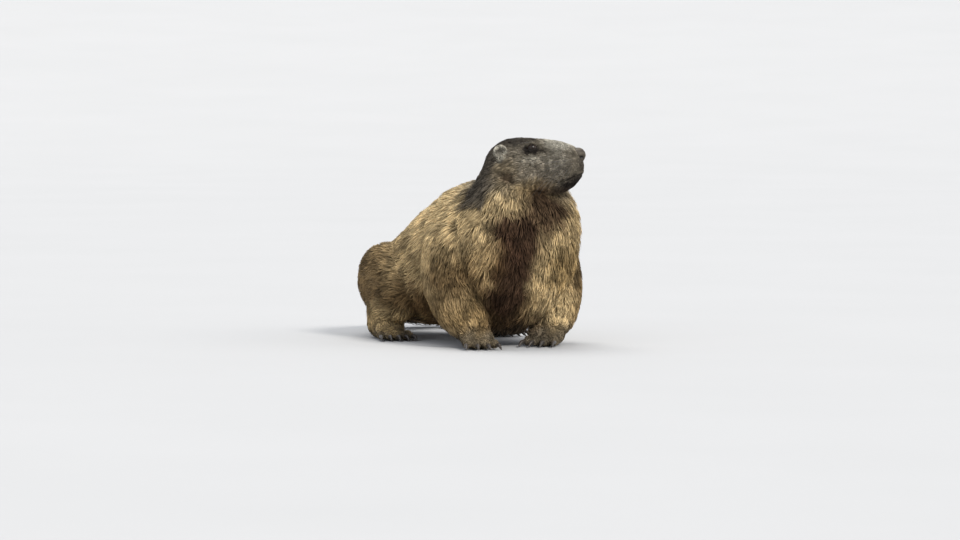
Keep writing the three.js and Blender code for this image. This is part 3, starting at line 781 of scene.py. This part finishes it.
# Fields over the skin
# Samples along and round a form, the part of its run that they cover, and the steps of slopes
BIG_SAMPLES, SMALL_SAMPLES = (56, 56), (30, 28)
SAMPLED = (0.01, 0.99)
SHARE_STEP, ANGLE_STEP = 0.004, 0.02
# Fur that is longer underneath fades to its usual length along this part of the run
UNDER_FADE = (0.5, 0.8)
# How many samples a place reads, how fast the farther ones fade, and the rounds of evening out
NEAREST, FADE = 10, 7.0
FLOW_ROUNDS, NUMBER_ROUNDS = 10, 12


def tree_of(places):
    tree = KDTree(len(places))
    for i, place in enumerate(places):
        tree.insert(place, i)
    tree.balance()
    return tree


def samples(index, name, form, depth):
    """Places over a form at the skin's depth, each with what the coat reads there."""
    coat = coat_of(name)
    shares, angles = BIG_SAMPLES if name in BIG_FORMS else SMALL_SAMPLES
    grid = np.meshgrid(np.linspace(*SAMPLED, shares), np.arange(angles) / angles * 2 * np.pi)
    share, angle = (g.ravel() for g in grid)
    at = form.point(share, angle, -depth)
    ahead = form.point(np.minimum(share + SHARE_STEP, 1), angle, -depth)
    along = ahead - form.point(share - SHARE_STEP, angle, -depth)
    turned = form.point(share, angle + ANGLE_STEP, -depth)
    round_ = turned - form.point(share, angle - ANGLE_STEP, -depth)
    longer = coat.under * (np.maximum(0, -np.sin(angle)) * (1 - smooth(*UNDER_FADE, share)))
    numbers = [
        coat.length(share) * (1 + longer),
        coat.rise(share) * (1 + longer / 2),
        *(np.full(len(at), value) for value in (coat.width, coat.gap, coat.clump)),
        coat.droop + longer,
    ]
    slopes = (along / (2 * SHARE_STEP), round_ / (2 * ANGLE_STEP))
    which = np.full(len(at), index)
    return at, unit(along) * coat.flow, *slopes, np.column_stack(numbers), which, share, angle


class Fields:
    """Flow and measures of the coat over the skin, read from the forms nearest to each place."""

    NAMES = ("length", "rise", "width", "gap", "clump", "droop")

    def __init__(self):
        parts = [(name, form, coat_of(name).depth) for name, form in FORMS.items()]
        parts += [(name, toe, TOE_DEPTH) for name, toes in TOES.items() for toe in toes]
        self.names = np.array([name for name, form, depth in parts])
        rows = [samples(index, *part) for index, part in enumerate(parts)]
        columns = [np.concatenate(column) for column in zip(*rows)]
        self.at, self.flow, self.along, self.round = columns[:4]
        self.numbers, self.part, self.share, self.angle = columns[4:]
        self.tree = tree_of(self.at)

    def read(self, places, normals):
        """Blended flow and measures at each place."""
        index = np.empty((len(places), NEAREST), int)
        far = np.empty((len(places), NEAREST))
        for i, p in enumerate(places):
            for j, (_, k, d) in enumerate(self.tree.find_n(p, NEAREST)):
                index[i, j], far[i, j] = k, d
        weight = hump(far - far[:, :1], FADE)
        weight /= weight.sum(1, keepdims=True)
        flow = (self.flow[index] * weight[..., None]).sum(1)
        numbers = (self.numbers[index] * weight[..., None]).sum(1)
        flow[:, 2] -= numbers[:, self.NAMES.index("droop")]
        flow = unit(flow - normals * (flow * normals).sum(1, keepdims=True))
        return flow, numbers

    def unwrapped(self, places):
        """The form's name, share and angle at each place."""
        found = np.array([self.tree.find(p)[1] for p in places])
        d = places - self.at[found]
        along, round_ = self.along[found], self.round[found]
        share = self.share[found] + (d * along).sum(1) / (along**2).sum(1)
        angle = self.angle[found] + (d * round_).sum(1) / (round_**2).sum(1)
        return self.names[self.part[found]], np.clip(share, 0, 1), np.mod(angle, 2 * np.pi)


class Skin:
    """The skin's triangles, with the coat's fields on them."""

    def __init__(self, made, fields):
        mesh = made.data
        mesh.calc_loop_triangles()
        triangles = np.empty(len(mesh.loop_triangles) * 3, np.int32)
        mesh.loop_triangles.foreach_get("vertices", triangles)
        self.triangles = triangles.reshape(-1, 3)
        self.co, self.normal = co_of(mesh), read_points(mesh, "normal")
        flow, numbers = fields.read(self.co, self.normal)
        self.flow = self.laid(self.evened(flow, FLOW_ROUNDS))
        self.numbers = self.evened(numbers, NUMBER_ROUNDS)
        self.trim()
        corners = (self.co.tolist(), self.triangles.tolist())
        self.tree = BVHTree.FromPolygons(*corners, all_triangles=True)

    def evened(self, values, times):
        """Values averaged over neighbouring corners."""
        corners = self.triangles.ravel()
        size = len(self.co)
        uses = np.maximum(np.bincount(corners, minlength=size), 1)[:, None]
        for _ in range(times):
            face = np.repeat(values[self.triangles].mean(1), 3, 0)
            sums = [np.bincount(corners, column, size) for column in face.T]
            values = np.column_stack(sums) / uses
        return values

    def laid(self, flow):
        """Directions turned to lie in the skin."""
        return unit(flow - self.normal * (flow * self.normal).sum(1, keepdims=True))

    def change(self, share, numbers, lie=None):
        """Other measures, and another lie, where share is 1."""
        share = share[:, None]
        self.numbers = self.numbers * (1 - share) + np.array(numbers) * share
        if lie is not None:
            self.flow = self.laid(self.flow * (1 - share) + lie * share)

    def trim(self):
        """Short fur on the ears and round the eyes, and a fringe under the chest."""
        q = of_head(self.co)
        lie = HEAD_FRAME[:3, :3] @ np.array(EAR_LIE)
        for sign in SIDES.values():
            inside = np.linalg.inv(np.array(ear_frame(sign)))
            out = np.linalg.norm(through(inside, self.co) / np.array(EAR_REACH), axis=1)
            self.change(1 - smooth(*EAR_EDGE, out), EAR_COAT, lie)
            far = eye_numbers(q, sign)[0]
            self.change(1 - smooth(*LID_EDGE, far), LID_COAT)
        x, y, z = self.co.T
        low = smooth(*FRINGE_LOW, z) * (1 - smooth(*FRINGE_HIGH, z))
        middle = (1 - smooth(*FRINGE_SIDE, np.abs(x))) * smooth(*FRINGE_BACK, y)
        self.change(low * middle, FRINGE_COAT)

    def areas(self):
        a, b, c = (self.co[self.triangles[:, k]] for k in range(3))
        return np.linalg.norm(np.cross(b - a, c - a), axis=1) / 2

    def read(self, face, weights, values):
        return (values[self.triangles[face]] * weights[..., None]).sum(1)

    def roots(self, density):
        """Places spread evenly over the skin: triangle and corner weights of each."""
        ends = np.cumsum(self.areas() * density)
        count = int(ends[-1])
        steps = (np.arange(count) + rng.random(count)) * ends[-1] / count
        face = np.minimum(np.searchsorted(ends, steps), len(ends) - 1)
        a, b = rng.random(count), rng.random(count)
        over = a + b > 1
        a[over], b[over] = 1 - a[over], 1 - b[over]
        return face, np.column_stack([1 - a - b, a, b])

    def onto(self, places):
        """Nearest places on the skin with their normals and flows."""
        at = np.empty_like(places)
        normal = np.empty_like(places)
        face = np.empty(len(places), int)
        for i, p in enumerate(places):
            at[i], normal[i], face[i] = self.tree.find_nearest(p)[:3]
        return at, normal, unit(self.flow[self.triangles[face]].sum(1))


# Tufts
# Where no fur grows: near an eye and in its slit, ahead of a line and near the lips, round the
# nose pad, and under the feet
BARE_EYE, BARE_SLIT, BARE_FRONT, BARE_LIPS, BARE_NOSE, BARE_SOLE = 10, 1.12, -49, 0.9, 0.2, 1.2
# A tuft's rows: share of its run and of its width
LONG_TUFT = [(0, 0.55), (0.3, 1.0), (0.68, 0.72), (1, 0)]
SHORT_TUFT = [(0, 0.7), (0.5, 1.0), (1, 0)]
# How deep a root sinks, how high a tuft's ridge is, and how near the floor it comes
ROOT_SUNK, RIDGE, LOWEST = 0.6, 0.55, 0.35
# How tufts vary: in length, in the share and size of underfur, and as the least and what is added
LENGTH_VARIES, UNDERFUR, UNDERFUR_SIZE = 0.28, 0.3, 0.7
RISE_VARIES, WIDTH_VARIES, PULL_VARIES = (0.55, 0.6), (0.75, 0.5), (0.6, 0.5)
# How far they stray, how much more so past the knee, the knee's share of rise, and their roll
STRAY, STRAY_MORE, KNEE_RISE, ROLL = 0.2, 1.4, 0.68, 0.35
# One tuft in so many leads a lock: how far it draws the others, and its share of pull at the knee
LOCK_SIZE, LOCK_REACH, KNEE_PULL = 34, 12, 0.3
# A tuft's patch of the bake map, across and along, and the map's edge and inside
PATCH_WIDE, PATCH_LONG, MAP_EDGE, MAP_INSIDE = 0.0026, 0.0028, 0.003, 0.994


def bare(co):
    """Where no fur grows."""
    q = of_head(co)
    gone = np.zeros(len(co), bool)
    for sign in SIDES.values():
        r, lid, _ = eye_numbers(q, sign)
        gone |= (r < BARE_EYE) & (lid < BARE_SLIT)
    above, run = mouth_gap(q)
    gone |= (q[:, 1] < BARE_FRONT) & (np.abs(above) < BARE_LIPS) & (run > 0.5)
    nose = (q - np.array(NOSE_AT)) / (np.array(NOSE_REACH) + BARE_NOSE)
    gone |= (nose**2).sum(1) < 1
    gone |= co[:, 2] < BARE_SOLE
    return gone


def varied(least, more, count):
    return least + more * rng.random(count)


def strokes(skin, face, weights, spread):
    """Each tuft's root, normal, knee, tip and width, and the tuft that leads its lock."""
    at = skin.read(face, weights, skin.co)
    normal = unit(skin.read(face, weights, skin.normal))
    flow = unit(skin.read(face, weights, skin.flow))
    length, rise, width, _, clump, _ = skin.read(face, weights, skin.numbers).T
    count = len(at)
    vary = 1 + LENGTH_VARIES * (rng.random(count) * 2 - 1)
    under = rng.random(count) < UNDERFUR
    vary[under] *= UNDERFUR_SIZE
    length = length * vary
    rise = rise * varied(*RISE_VARIES, count) * np.where(under, UNDERFUR_SIZE, 1)
    width = width * varied(*WIDTH_VARIES, count) * spread
    stray = rng.normal(0, STRAY, count)[:, None]
    flow = unit(flow + np.cross(normal, flow) * stray)
    middle, middle_normal, onward = skin.onto(at + flow * (length * 0.5)[:, None])
    onward = unit(onward + np.cross(middle_normal, onward) * stray * STRAY_MORE)
    end, end_normal, _ = skin.onto(middle + onward * (length * 0.5)[:, None])
    tip = end + end_normal * rise[:, None]
    knee = middle + middle_normal * (rise * KNEE_RISE)[:, None]
    guides = rng.choice(count, max(1, count // LOCK_SIZE), replace=False)
    tree = tree_of(at[guides])
    lock = np.array([guides[tree.find(p)[1]] for p in at])
    near = np.linalg.norm(at - at[lock], axis=1) < LOCK_REACH
    pull = (clump * near * varied(*PULL_VARIES, count))[:, None]
    tip = tip + (tip[lock] - tip) * pull
    knee = knee + (knee[lock] - knee) * pull * KNEE_PULL
    return at, normal, knee, tip, width, lock


def grow(skin, face, weights, rows, spread):
    """Tufts at the roots: their points, and the numbers that their material reads."""
    at, normal, knee, tip, width, lock = strokes(skin, face, weights, spread)
    count = len(at)
    turn = 2 * knee - (at + tip) / 2
    facing = unit(tip - at)
    roll = rng.normal(0, ROLL, count)[:, None]
    across = unit(np.cross(normal, facing) + normal * roll)
    out = unit(np.cross(facing, across))
    tuft = rng.random(count)
    lock_shade = rng.random(count)[lock]
    points, strands = [], []
    for run, wide in rows:
        centre = at * (1 - run) ** 2 + turn * (2 * run * (1 - run)) + tip * run**2
        if run == 0:
            centre = at - normal * ROOT_SUNK
        half = (width * wide / 2)[:, None]
        corners = [centre - across * half, centre + across * half, centre + out * half * RIDGE]
        if wide == 0:
            corners = [centre]
        points += corners
        strands += [np.column_stack([np.full(count, run), tuft, lock_shade])] * len(corners)
    points = np.stack(points, 1)
    points[..., 2] = np.maximum(points[..., 2], LOWEST)
    return points, np.stack(strands, 1)


def tuft_faces(rows):
    """The faces of a three-sided tuft, closed at its root and drawn to a tip."""
    faces = [(0, 2, 1)]
    tip = 3 * (len(rows) - 1)
    for a in range(0, tip, 3):
        for k in range(3):
            m = (k + 1) % 3
            if a + 3 == tip:
                faces.append((a + k, a + m, tip))
            else:
                faces += [(a + k, a + m, a + 3 + m), (a + k, a + 3 + m, a + 3 + k)]
    return np.array(faces)


def smooth_faces(mesh):
    mesh.polygons.foreach_set("use_smooth", np.ones(len(mesh.polygons), bool))


def put_attribute(mesh, name, values):
    made = mesh.attributes.new(name, "FLOAT_COLOR", "POINT")
    full = np.column_stack([values, np.ones(len(values))]).astype(np.float32)
    made.data.foreach_set("color", full.ravel())


def coat_piece(name, points, strands, faces, patch):
    """Tufts as one mesh with its markings and painted light and shade, read at their middles, and its
    bake map.
    """
    count, per = points.shape[:2]
    mesh = bpy.data.meshes.new(name)
    corner = (faces[None] + (np.arange(count) * per)[:, None, None]).reshape(-1, 3)
    mesh.vertices.add(count * per)
    places = in_part(points.reshape(-1, 3))
    mesh.vertices.foreach_set("co", places.astype(np.float32).ravel())
    mesh.loops.add(len(corner) * 3)
    mesh.loops.foreach_set("vertex_index", corner.astype(np.int32).ravel())
    mesh.polygons.add(len(corner))
    mesh.polygons.foreach_set("loop_start", np.arange(0, len(corner) * 3, 3, np.int32))
    smooth_faces(mesh)
    mesh.update(calc_edges=True)
    across = np.array([-0.5, 0.5, 0.0])[np.arange(per) % 3]
    across[-1] = 0
    offset = np.column_stack([across * PATCH_WIDE, (strands[0, :, 0] - 0.5) * PATCH_LONG])
    uv = (patch[:, None, :] + offset[None]).reshape(-1, 2)
    layer = mesh.uv_layers.new(name="OFBake")
    layer.data.foreach_set("uv", np.clip(uv[corner.ravel()], 0, 1).astype(np.float32).ravel())
    put_attribute(mesh, "markings_and_painted_light", np.repeat(markings_and_painted_light(points.mean(1)), per, 0))
    put_attribute(mesh, "strand", strands.reshape(-1, 3))
    return mesh_object(name, mesh)


# The coat's pieces: the form that each grows on, and where on its run it starts and ends
PAST_END = 1.01
PIECES = {
    "coat_rump": ("trunk", 0, 0.16),
    "coat_loin": ("trunk", 0.16, 0.34),
    "coat_flank": ("trunk", 0.34, 0.5),
    "coat_shoulder": ("trunk", 0.5, 0.66),
    "coat_chest": ("trunk", 0.66, 0.8),
    "coat_neck": ("trunk", 0.8, PAST_END),
    "coat_cheeks": ("head", 0, 0.45),
    "coat_face": ("head", 0.45, PAST_END),
}
LEGS = [f"{limb}_{side}" for limb in ("foreleg", "thigh", "shank") for side in SIDES]
PIECES.update({"coat_" + name: (name, 0, PAST_END) for name in (*LEGS, "tail", *TOES)})
SHORT_COATS = ("head", "forepaw", "hindpaw")
FACE_PIECES = ("coat_cheeks", "coat_face")


def coats(skin, fields):
    """Every piece of the coat."""
    gap = skin.numbers[:, Fields.NAMES.index("gap")]
    density = (1 / gap**2)[skin.triangles].mean(1)
    spread = 1.0
    face, weights = skin.roots(density)
    at = skin.read(face, weights, skin.co)
    kept = ~bare(at)
    face, weights, at = face[kept], weights[kept], at[kept]
    names, share, angle = fields.unwrapped(at)
    made = []
    for piece, (form, low, high) in PIECES.items():
        mine = (names == form) & (share >= low) & (share < high)
        rows = SHORT_TUFT if form.split("_")[0] in SHORT_COATS else LONG_TUFT
        points, strands = grow(skin, face[mine], weights[mine], rows, spread)
        across = MAP_EDGE + MAP_INSIDE * angle[mine] / (2 * np.pi)
        along = MAP_EDGE + MAP_INSIDE * (share[mine] - low) / (min(high, 1) - low)
        patch = np.column_stack([across, along])
        made.append(coat_piece(piece, points, strands, tuft_faces(rows), patch))
    return made


# Materials
class Paint:
    """A node material, written a node at a time."""

    def __init__(self, name):
        self.material = bpy.data.materials.new(name)
        self.material.use_nodes = True
        self.tree = self.material.node_tree
        self.shader = self.tree.nodes["Principled BSDF"]

    def put(self, kind, inputs=(), **settings):
        node = self.tree.nodes.new(kind)
        for key, value in settings.items():
            setattr(node, key, value)
        for key, value in dict(inputs).items():
            self.give(node.inputs[key], value)
        return node

    def give(self, socket, value):
        if isinstance(value, bpy.types.NodeSocket):
            self.tree.links.new(value, socket)
        else:
            socket.default_value = value

    def set(self, **values):
        for key, value in values.items():
            self.give(self.shader.inputs[key.replace("_", " ")], value)

    def attribute(self, name):
        return self.put("ShaderNodeAttribute", attribute_name=name).outputs

    def places(self):
        return self.put("ShaderNodeTexCoord").outputs["Object"]

    def noise(self, scale, detail=3.0):
        inputs = {"Scale": scale, "Detail": detail, "Vector": self.places()}
        return self.put("ShaderNodeTexNoise", inputs).outputs["Fac"]

    def ramp(self, factor, *stops):
        """The factor turned to a colour, by stops of (place, colour or grey)."""
        node = self.put("ShaderNodeValToRGB", {"Fac": factor})
        points = node.color_ramp.elements
        while len(points) < len(stops):
            points.new(0.5)
        for point, (place, value) in zip(points, stops):
            point.position = place
            point.color = (*value, 1) if isinstance(value, tuple) else (value, value, value, 1)
        return node.outputs["Color"]

    def times(self, a, b):
        inputs = {"Factor": 1.0, 6: a, 7: b}
        node = self.put("ShaderNodeMix", inputs, data_type="RGBA", blend_type="MULTIPLY")
        return node.outputs[2]

    def bump(self, height, strength, distance):
        inputs = {"Height": height, "Strength": strength, "Distance": distance}
        self.set(Normal=self.put("ShaderNodeBump", inputs).outputs["Normal"])


def coat_material(name, lock_range, mottle_size, mottle_range):
    """Tufts: darker at the root as painted shade deep in the coat, paler at the tip, uneven from lock to
    lock and patch to patch.
    """
    paint = Paint(name)
    colour = paint.attribute("markings_and_painted_light")["Color"]
    strand = paint.attribute("strand")["Color"]
    parts = paint.put("ShaderNodeSeparateColor", {"Color": strand}).outputs
    layers = [
        # The first layer darkens each tuft towards its root as painted shade deep in the coat
        paint.ramp(parts["Red"], (0, 0.42), (0.3, 0.8), (0.7, 1.1), (1, 1.45)),
        paint.ramp(parts["Green"], (0, 0.66), (0.5, 1.0), (1, 1.38)),
        paint.ramp(parts["Blue"], (0, lock_range[0]), (1, lock_range[1])),
        paint.ramp(paint.noise(mottle_size), (0.32, mottle_range[0]), (0.68, mottle_range[1])),
    ]
    for layer in layers:
        colour = paint.times(colour, layer)
    paint.set(Base_Color=colour, Roughness=0.72, Specular_IOR_Level=0.06)
    return paint.material


def skin_material():
    """Skin between the tufts: the coat's markings and painted light and shade, darker and finely
    grained.
    """
    paint = Paint("skin")
    fine = paint.noise(900.0, 2.0)
    tone = paint.ramp(fine, (0.3, 0.35), (0.7, 0.6))
    colour = paint.times(paint.attribute("markings_and_painted_light")["Color"], tone)
    paint.set(Base_Color=colour, Roughness=0.85, Specular_IOR_Level=0.08)
    paint.bump(fine, 0.4, 0.0006)
    return paint.material


def eye_material():
    paint = Paint("eye")
    stops = ((0.3, (0.006, 0.004, 0.003)), (0.8, (0.022, 0.012, 0.007)))
    tone = paint.ramp(paint.noise(300.0, 2.0), *stops)
    paint.set(Base_Color=tone, Roughness=0.12, Specular_IOR_Level=0.22)
    return paint.material


def nose_material():
    """Finely pebbled and brown, with painted shade in the nostrils."""
    paint = Paint("nose")
    cells = paint.put("ShaderNodeTexVoronoi", {"Vector": paint.places(), "Scale": 1300.0})
    stops = ((0.3, (0.03, 0.023, 0.016)), (0.75, (0.085, 0.068, 0.046)))
    tone = paint.ramp(paint.noise(250.0), *stops)
    # The nostrils are darkened as painted shade in their openings
    nostril_shade = paint.ramp(paint.attribute("nostril")["Fac"], (0.1, 1), (0.7, 0.06))
    paint.set(Base_Color=paint.times(tone, nostril_shade), Roughness=0.5, Specular_IOR_Level=0.3)
    paint.bump(cells.outputs["Distance"], 0.5, 0.0004)
    return paint.material


def claw_material():
    paint = Paint("claw")
    streak = paint.noise(420.0, 4.0)
    dark, horn, worn = (0.016, 0.013, 0.011), (0.05, 0.04, 0.032), (0.13, 0.11, 0.09)
    tone = paint.ramp(streak, (0.3, dark), (0.6, horn), (0.85, worn))
    paint.set(Base_Color=tone, Roughness=0.38, Specular_IOR_Level=0.5)
    paint.bump(streak, 0.25, 0.0003)
    return paint.material


def whisker_material():
    paint = Paint("whisker")
    stops = ((0.3, (0.02, 0.016, 0.013)), (0.7, (0.09, 0.075, 0.06)))
    paint.set(Base_Color=paint.ramp(paint.noise(60.0), *stops), Roughness=0.4)
    return paint.material


# Small pieces
CORNEA = 0.035
# The nose pad narrows below. It has a groove down its middle and a slanted nostril on each side
PAD_TAPER, PAD_GROOVE_HALF, PAD_GROOVE_DEEP = 0.18, 0.7, 0.9
NOSTRIL_OUT, NOSTRIL_DOWN, NOSTRIL_DEEP = 5.0, 3.0, 2.6
NOSTRIL_FALL, NOSTRIL_SLANT = (0.2, 0.36), 0.2
CLAW_LOWEST = 0.3
# Whiskers: rows down the muzzle, hairs back along each row, where the first one grows, and brows
WHISKER_ROWS, WHISKER_HAIRS, WHISKER_FROM, BROW_HAIRS = 4, 5, (14.5, -73, -1), 3
WHISKER_THICK, WHISKER_TAPER, WHISKER_SAG = 0.24, 0.85, 0.2


def to_frame(made):
    """Millimetres of the animal's own frame become metres of the part's frame."""
    scaled = Matrix.Diagonal((0.001, 0.001, 0.001, 1))
    made.data.transform(Matrix.Translation(SHIFT * 0.001) @ scaled)
    smooth_faces(made.data)
    made.data.update()
    return made


def eyeball(side):
    """A ball with a fuller cornea in front."""
    sign = SIDES[side]
    bm = ball(40, 28, EYE_RADIUS)
    out = Vector(unit(np.array([sign * EYE_OUT[0], *EYE_OUT[1:]])))
    for v in bm.verts:
        front = max(0.0, v.co.normalized().dot(out))
        v.co *= 1 + CORNEA * front**6
    bmesh.ops.translate(bm, verts=bm.verts[:], vec=Vector(EYES[sign]))
    bm.transform(HEAD_MATRIX)
    return to_frame(taken("eyeball_" + side, bm))


def nostrils(place, front):
    """How deep they are at a place on the nose."""
    deep = 0.0
    for s in SIDES.values():
        dx, dz = place.x - s * NOSTRIL_OUT, place.z + NOSTRIL_DOWN
        off = (dx * dx * NOSTRIL_FALL[0]) + (dz * dz * NOSTRIL_FALL[1]) - s * dx * dz * NOSTRIL_SLANT
        deep += math.exp(-off) * min(1.0, front * 2)
    return deep


def nose_pad():
    """A rounded pad with its groove and nostrils pressed in."""
    bm = ball(72, 52)
    dents = []
    for v in bm.verts:
        x, y, z = v.co
        wide = NOSE_REACH[0] * x * (1 - PAD_TAPER * max(0, -z))
        place = Vector((wide, NOSE_REACH[1] * y, NOSE_REACH[2] * z))
        front = max(0.0, -y)
        groove = math.exp(-((place.x / PAD_GROOVE_HALF) ** 2)) * front
        place -= v.co * (PAD_GROOVE_DEEP * groove)
        deep = nostrils(place, front)
        place -= v.co * (NOSTRIL_DEEP * deep)
        dents.append((deep, deep, deep))
        v.co = place + Vector(NOSE_AT)
    bm.transform(HEAD_MATRIX)
    made = taken("nose_pad", bm)
    put_attribute(made.data, "nostril", np.array(dents))
    return to_frame(made)


def claw_set(name, nails):
    bm = bmesh.new()
    for nail in nails:
        nail.add_to(bm, 14, 26, 0)
    for v in bm.verts:
        v.co.z = max(v.co.z, CLAW_LOWEST)
    return to_frame(taken(name + "_set", bm))


def hairs(sign):
    """One side's whiskers and brow hairs: where each starts, its direction and its length."""
    made = []
    x, y, z = WHISKER_FROM
    for row in range(WHISKER_ROWS):
        for i in range(WHISKER_HAIRS):
            at = (sign * (x + 0.6 * row), y + 3.2 * i + 0.8 * row, z - 2.8 * row)
            length = 20 + 6.5 * i + rng.random() * 6
            lean = (sign * 1.0, 0.35 + 0.12 * i, 0.18 - 0.2 * row + 0.05 * rng.random())
            made.append((at, lean, length))
    for i in range(BROW_HAIRS):
        made.append(((sign * 21, -33 + 3 * i, 24), (sign * 0.8, 0.9, 0.25), 12 + 2 * i))
    return made


def whiskers():
    """Stiff hairs from the muzzle's sides and over the eyes, each a thin bent cone."""
    bm = bmesh.new()
    for at, lean, length in [hair for sign in SIDES.values() for hair in hairs(sign)]:
        start, ahead = np.array(at), unit(np.array(lean))
        rings = []
        for share in (0, 0.25, 0.5, 0.75, 1):
            thick = WHISKER_THICK * (1 - WHISKER_TAPER * share)
            drop = np.array([0, 0, WHISKER_SAG * length * share**2])
            rings.append((start + ahead * length * share - drop, (thick, thick, thick)))
        Form(rings, ends=(0.1, 0.1), placed=HEAD_FRAME).add_to(bm, 5, 18, 0)
    return to_frame(taken("whiskers", bm))


# Scene
# The floor, in metres: half its width, how far it is flat, and the rise of its rim
FLOOR_REACH, FLOOR_FLAT, FLOOR_RISE = 14.0, 5.0, 0.6
# The photo's camera: turned to the animal's right, a little above it, from far off
PHOTO_WIDE, PHOTO_HIGH, PHOTO_SCALE = 960, 540, 1.08
PHOTO_AZIMUTH, PHOTO_ELEVATION = -30, 3
# The pixel that shows the animal's origin, and the place that the distance is taken from
PHOTO_ORIGIN = (512, 345)
MIDDLE = (0, 60, 100)
CAMERA_FAR, SENSOR = 5000, 36
# Where each light shines from, how wide in degrees, how strong, and its colour
LIGHTS = {
    "key": ((0.1, -1.25, 1.0), 16, 2.7, (1.0, 0.965, 0.9)),
    "fill": ((-1.6, -0.9, 0.9), 60, 0.7, (0.92, 0.96, 1.0)),
    "side": ((1.1, -1.0, 0.5), 40, 0.9, (1.0, 0.97, 0.92)),
    "back": ((0.1, 0.7, 1.8), 40, 2.0, (1.0, 0.98, 0.94)),
}
STUDIO_COLOUR, STUDIO_STRENGTH = (0.85, 0.9, 1.0, 1), 0.75


def looking(name, data, place, along):
    """A camera or light at a place, facing along a direction."""
    made = bpy.data.objects.new(name, data)
    made.location = place
    made.rotation_mode = "QUATERNION"
    made.rotation_quaternion = Vector(along).to_track_quat("-Z", "Y")
    bpy.context.scene.collection.objects.link(made)
    return made


def floor():
    """A plain floor whose far rim rises a little, so that it fills the picture."""
    bm = bmesh.new()
    bmesh.ops.create_grid(bm, x_segments=48, y_segments=48, size=FLOOR_REACH)
    for v in bm.verts:
        v.co.z = FLOOR_RISE * smooth(FLOOR_FLAT, FLOOR_REACH, v.co.xy.length)
    made = taken("floor", bm)
    smooth_faces(made.data)
    paint = Paint("floor")
    paint.set(Base_Color=paint.ramp(paint.noise(3.0), (0.3, 0.41), (0.7, 0.42)), Roughness=0.8)
    made.data.materials.append(paint.material)


def camera():
    a, e = math.radians(PHOTO_AZIMUTH), math.radians(PHOTO_ELEVATION)
    right = np.array([math.cos(a), math.sin(a), 0])
    back = np.array([math.sin(a) * math.cos(e), -math.cos(a) * math.cos(e), math.sin(e)])
    up = np.cross(back, right)
    x = (PHOTO_WIDE / 2 - PHOTO_ORIGIN[0]) * PHOTO_SCALE
    y = (PHOTO_ORIGIN[1] - PHOTO_HIGH / 2) * PHOTO_SCALE
    place = right * x + up * y + back * (np.dot(MIDDLE, back) + CAMERA_FAR)
    data = bpy.data.cameras.new("camera")
    data.lens = SENSOR * CAMERA_FAR / (PHOTO_WIDE * PHOTO_SCALE)
    data.clip_end = 100
    bpy.context.scene.camera = looking("camera", data, in_part(place), -back)


def lights():
    for name, (place, wide, power, colour) in LIGHTS.items():
        data = bpy.data.lights.new(name, "SUN")
        data.angle = math.radians(wide)
        data.energy = power
        data.color = colour
        looking(name, data, place, -Vector(place))
    world = bpy.data.worlds.new("studio")
    world.use_nodes = True
    background = world.node_tree.nodes["Background"]
    background.inputs["Color"].default_value = STUDIO_COLOUR
    background.inputs["Strength"].default_value = STUDIO_STRENGTH
    bpy.context.scene.world = world
    bpy.context.scene.view_settings.view_transform = "Standard"


def finish_piece(made, material, *nodes):
    made.data.materials.append(material)
    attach(made, "root")
    if nodes:
        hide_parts(*nodes)


camera()
body = flesh()
refine(body, on_face)
refine(body, round_eyes)
carve(body)
fields = Fields()
skin = Skin(body, fields)
coat_paint = coat_material("coat", (0.56, 1.5), 34.0, (0.78, 1.22))
face_paint = coat_material("face_coat", (0.7, 1.3), 170.0, (0.6, 1.4))
for piece in coats(skin, fields):
    finish_piece(piece, face_paint if piece.name in FACE_PIECES else coat_paint)
put_attribute(body.data, "markings_and_painted_light", markings_and_painted_light(co_of(body.data)))
to_frame(body)
HARD_NODES = ("eye", "nose", "foreclaw", "hindclaw")
FLESH_NODES = [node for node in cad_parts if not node.startswith(HARD_NODES)]
finish_piece(body, skin_material(), *FLESH_NODES)
eye_paint = eye_material()
for side in SIDES:
    finish_piece(eyeball(side), eye_paint, "eye_" + side)
finish_piece(nose_pad(), nose_material(), "nose")
claw_paint = claw_material()
for name, nails in CLAWS.items():
    nodes = [f"{name}_{i + 1}" for i in range(len(nails))]
    finish_piece(claw_set(name, nails), claw_paint, *nodes)
finish_piece(whiskers(), whisker_material())
floor()
lights()
